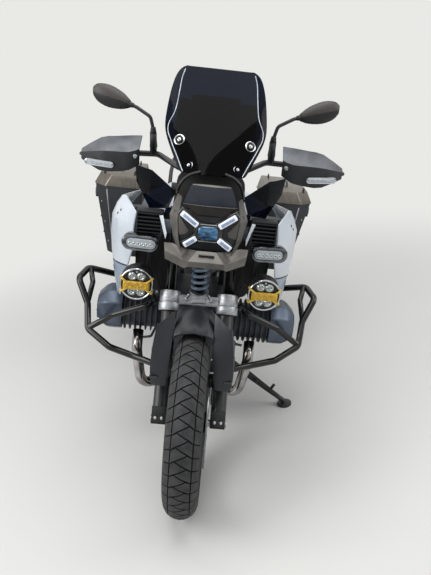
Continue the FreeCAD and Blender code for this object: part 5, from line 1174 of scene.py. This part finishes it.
# Grey thread, so that the seams show on the cover
seat_thread = coating("grey_seat_thread", "3c3d40", "4a4b4e", 6, 0.8, 0.6)
cushions = node_copy("seats", "seats_padded", seat_vinyl)
cushions.data.transform(PARKED.inverted())
apply_modifier(cushions, "REMESH", mode="VOXEL", voxel_size=0.006)
start_at = [vert.co.copy() for vert in cushions.data.vertices]
outward = [vert.normal.copy() for vert in cushions.data.vertices]
base = cushions.vertex_groups.new(name="base")
base.add([vert.index for vert in cushions.data.vertices if vert.normal.z < -0.3], 1.0, "ADD")
for vert in cushions.data.vertices:
    if vert.normal.z > -0.3:
        vert.co -= vert.normal * 0.003
foam = cushions.modifiers.new("foam_pressure", "CLOTH")
foam.settings.quality = 4
foam.settings.use_pressure = True
foam.settings.uniform_pressure_force = 4.0
foam.settings.effector_weights.gravity = 0.0
foam.settings.vertex_group_mass = "base"
for step in range(1, 21):
    bpy.context.scene.frame_set(step)
swollen = cushions.evaluated_get(bpy.context.evaluated_depsgraph_get())
moved = [vert.co.copy() for vert in swollen.data.vertices]
cushions.modifiers.remove(foam)
bpy.context.scene.frame_set(1)
for vert, spot, first, out in zip(cushions.data.vertices, moved, start_at, outward):
    rise = max(-0.006, min(0.004, (spot - first).dot(out)))
    vert.co = first + out * rise if out.z > -0.3 else first
apply_modifier(cushions, "SMOOTH", factor=0.5, iterations=6)
apply_modifier(cushions, "SUBSURF", levels=1, render_levels=1)
settle(cushions, "chassis", PARKED, ("seats",), 60)


def seat_line(y, share):
    """The place on a seat's top at a share of its half width, found by feeling outwards from its middle."""
    middle = touch(cushions, (0, y, 1.5), (0, 0, -1), PARKED)[0]
    reach = 0.05
    while reach < 0.2:
        spot = touch(cushions, (reach, y, 1.5), (0, 0, -1), PARKED)[0]
        if spot.z > 1.4 or spot.z < middle.z - 0.03:
            break
        reach += 0.005
    spot, out = touch(cushions, (reach * share, y, 1.5), (0, 0, -1), PARKED)
    return spot + out * 0.0006


stitches = []
for first, last, crosses in ((0.905, 1.150, (0.985, 1.085)), (1.212, 1.415, (1.262, 1.345))):
    lines = [first + (last - first) * step / 7 for step in range(8)]
    loop = [seat_line(y, 0.84) for y in lines] + [seat_line(y, -0.84) for y in reversed(lines)]
    stitches.append(wire(loop, 0.0019, seat_vinyl, True))
    for y in crosses:
        stitches.append(wire([seat_line(y, share) for share in (-0.84, -0.5, 0, 0.5, 0.84)], 0.0012, seat_thread))
settle(one_piece("seat_piping_and_stitching", stitches), "chassis", PARKED)

# Rack and tail: a cast black luggage bridge with rubber pads, a moulded tail with a red lamp, amber indicators
# and a blank white number plate on its carrier. The hugger over the rear tyre is moulded too.
# Red acrylic with small flutes: deep colour under a wet gloss
red_lens = coating("red_acrylic_lens", "7c0a0c", "a01216", 5, 1.5, 0.12, 0.03, 0.1, Coat_Weight=0.8)
# The same acrylic in amber: a warm glow at the tail's corners
amber_lens = coating("amber_acrylic_lens", "b45a08", "d67a14", 5, 1.5, 0.12, 0.03, 0.1, Coat_Weight=0.8)
# Enamel on pressed sheet: a plain white plate
plate_white = coating("pressed_plate_enamel", "cfd0cf", "dcdddc", 90, 1.0, 0.35)
rack = welded_copy("luggage_rack", "luggage_bridge", "chassis", black_plastic, 1)
pads = []
for side in (-1, 1):
    for y in (1.50, 1.56, 1.62):
        spot, out = touch(rack, (side * 0.07, y, 1.3), (0, 0, -1), PARKED)
        if spot.z < 1.1:
            pads.append(block(spot, (0.020, 0.034, 0.005), 0.0015, grip_rubber))
tail = welded_copy("tail_unit", "tail_moulding", "chassis", black_plastic, 1)
second_finish(tail, red_lens, PARKED, lambda p, n: n.y > 0.4 and 0.925 < p.z < 0.99 and p.y > 1.60)
second_finish(tail, amber_lens, PARKED, lambda p, n: abs(p.x) > 0.100 and p.y > 1.85 and 0.69 < p.z < 0.76)
spot, out = touch(tail, (0, 2.3, 0.63), (0, -1, 0), PARKED)
tilt = math.atan2(out.z, out.y)
pads.append(block(spot + out * 0.0015, (0.185, 0.003, 0.125), 0.001, plate_white, (tilt, 0, 0)))
for x in (-0.06, 0.06):
    foot = spot + Vector((x, 0, 0.045))
    pads.append(bar(foot, foot + out * 0.0055, 0.005, bolt_steel, 0.001, 6))
settle(one_piece("rack_pads_and_blank_plate", pads), "chassis", PARKED)
welded_copy("rear_hugger", "rear_hugger_moulded", "chassis", black_plastic, 1)

# Rear drive: a cast single-sided arm with the shaft inside and the bevel drive at its end, dark grey paint. The
# drive's cover is a ribbed disc held by six bolts.
# Dark grey casting paint, a little paler than the frame's
arm_paint = coating("grey_arm_paint", "2c2e31", "3a3c40", 70, 1.8, 0.45, 0.06, 0.03, Metallic=0.4)
arm = welded_copy("swingarm", "swingarm_and_bevel_drive", "chassis", arm_paint, 2)
DRIVE_BOLTS = 0.066
drive = screws_on(arm, [(0.5, REAR_AXLE.y + DRIVE_BOLTS * math.cos(a), REAR_AXLE.z + DRIVE_BOLTS * math.sin(a))
                        for a in [index * math.pi / 3 for index in range(6)]], Vector((-1, 0, 0)), 0.006, bolt_steel,
                  PARKED, 0.004)
spot, out = touch(arm, (0.5, REAR_AXLE.y, REAR_AXLE.z + 0.050), (-1, 0, 0), PARKED)
drive += [hoop((spot.x, REAR_AXLE.y, REAR_AXLE.z), reach, 0.003, arm_paint, (0, math.pi / 2, 0), 48)
          for reach in (0.078, 0.050)]
drive.append(bar((spot.x - 0.002, REAR_AXLE.y, REAR_AXLE.z), (spot.x + 0.008, REAR_AXLE.y, REAR_AXLE.z), 0.026,
                 black_paint, 0.003, 40))
settle(one_piece("bevel_drive_bolts", drive), "chassis", PARKED)

# Footrests: forged pegs with rubber tops, bolted to the frame, with the brake and gear levers beside them. Pegs
# and levers are brushed bright metal.
pegs = welded_copy("footrests", "footrests_and_levers", "chassis", brushed, 1)
second_finish(pegs, grip_rubber, PARKED, lambda p, n: n.z > 0.6 and abs(p.x) > 0.150)

# Side stand: a forged black arm with a flat foot. A tapered web along its front face widens towards the pivot,
# and a small lug for the rider's boot stands on it above the foot.
welded_copy("side_stand", "side_stand_forged", "side_stand", frame_coat, 0.6)
stand_top = Vector((0.174, 0.600, 0.270))
stand_foot = Vector((0.440, 0.520, 0.0))
stand_foot.z = 0.016 - (PARKED @ stand_foot).z / (PARKED.to_3x3() @ Vector((0, 0, 1))).z
leg = stand_foot - stand_top
across = leg.cross(Vector((0, 1, 0))).normalized()
# share of the leg's length and the web's half width there
WEB = [(0.14, 0.019), (0.40, 0.016), (0.66, 0.0135), (0.88, 0.011)]
web = [[stand_top + leg * at + across * half * share + Vector((0, -0.009 - 0.004 * (1 - share * share), 0))
        for share in (-1, -0.4, 0.4, 1)] for at, half in WEB]
lug_at = stand_top + leg * 0.72 + Vector((0, -0.010, 0))
stand_bits = [skin([[tuple(spot) for spot in row] for row in web], frame_coat, 0.004),
              bar(lug_at, lug_at - across * 0.038 * (1 if across.z < 0 else -1), 0.0065, frame_coat, 0.002, 24)]
settle(one_piece("side_stand_web_and_lug", stand_bits), "side_stand", PARKED)

# Cases: bent and riveted 1.5 mm aluminium, the bodies dark, the lids bronze-silver and the corners edged with
# pale strips. Bent wire tie loops and a grip sit on each lid, two latches on each outer face.
# Anodised sheet: drawn streaks and a warm bronze gleam
case_metal = coating("anodised_case_sheet", "6f6962", "7c766e", 60, 0.9, 0.34, 0.06, 0.02, (4, 1, 1), Metallic=0.9)
# Black coated sheet: flat satin
case_black = coating("black_case_sheet", "1d1f22", "292c30", 90, 1.0, 0.42, 0.06, 0.02, Metallic=0.4)
# Coated wire: satin black loops
loop_black = coating("black_loop_wire", "121315", "1b1c1e", 30, 1.0, 0.3, Metallic=0.3)
cases = welded_copy("side_cases", "case_bodies", "chassis", case_black, 1)
# Brushed strip: a thin pale line down each corner
corner_metal = coating("brushed_corner_strip", "8d8f92", "a9abae", 30, 0.9, 0.34, 0.06, 0.02, Metallic=0.9)
case_bits = []
for side in (-1, 1):
    for aim_y, from_y in ((1, 0.9), (-1, 1.7)):
        low = touch(cases, (side * 0.430, from_y, 0.58), (0, aim_y, 0), PARKED)[0]
        high = touch(cases, (side * 0.470, from_y, 0.89), (0, aim_y, 0), PARKED)[0]
        if abs(low.y - from_y) > 0.01 and abs(high.y - from_y) > 0.01:
            case_bits.append(bar(low, high, 0.0036, corner_metal, 0.001, 12))
for side in (-1, 1):
    for y in (1.16, 1.38):
        spot, out = touch(cases, (side * 0.8, y, 0.86), (-side, 0, 0), PARKED)
        case_bits += [block(spot + out * 0.004, (0.012, 0.034, 0.060), 0.003, black_plastic),
                      block(spot + out * 0.011, (0.006, 0.022, 0.030), 0.002, brushed)]
    for z in (0.66, 0.74):
        spot, out = touch(cases, (side * 0.8, 1.27, z), (-side, 0, 0), PARKED)
        case_bits.append(block(spot + out * 0.0005, (0.004, 0.30, 0.010), 0.0018, case_black))
    case_bits += screws_on(cases, [(side * 0.8, y, z) for y in (1.10, 1.44) for z in (0.62, 0.72, 0.82)],
                           Vector((-side, 0, 0)), 0.004, bolt_steel, PARKED, 0.0025, 16)
settle(one_piece("case_latches_and_rivets", case_bits), "chassis", PARKED)
for lid_name, side in (("case_lid_left", 1), ("case_lid_right", -1)):
    lid = welded_copy(lid_name, lid_name + "_anodised", lid_name, case_metal, 1)
    loops = []
    for x, y in ((0.345, 1.12), (0.345, 1.42), (0.490, 1.12), (0.490, 1.42)):
        spot, out = touch(lid, (side * x, y, 1.3), (0, 0, -1), PARKED)
        if spot.z < 1.1:
            loops.append(hoop(spot + Vector((0, 0, 0.003)), 0.014, 0.0032, loop_black,
                              (math.pi / 2, 0, math.pi / 2), 28))
    grip_at = touch(lid, (side * 0.418, 1.27, 1.3), (0, 0, -1), PARKED)[0]
    loops.append(wire([grip_at + Vector((0, -0.07, -0.002)), grip_at + Vector((0, -0.058, 0.013)),
                       grip_at + Vector((0, 0, 0.017)), grip_at + Vector((0, 0.058, 0.013)),
                       grip_at + Vector((0, 0.07, -0.002))], 0.005, loop_black))
    settle(one_piece(lid_name + "_loops_and_grip", loops), lid_name, PARKED)
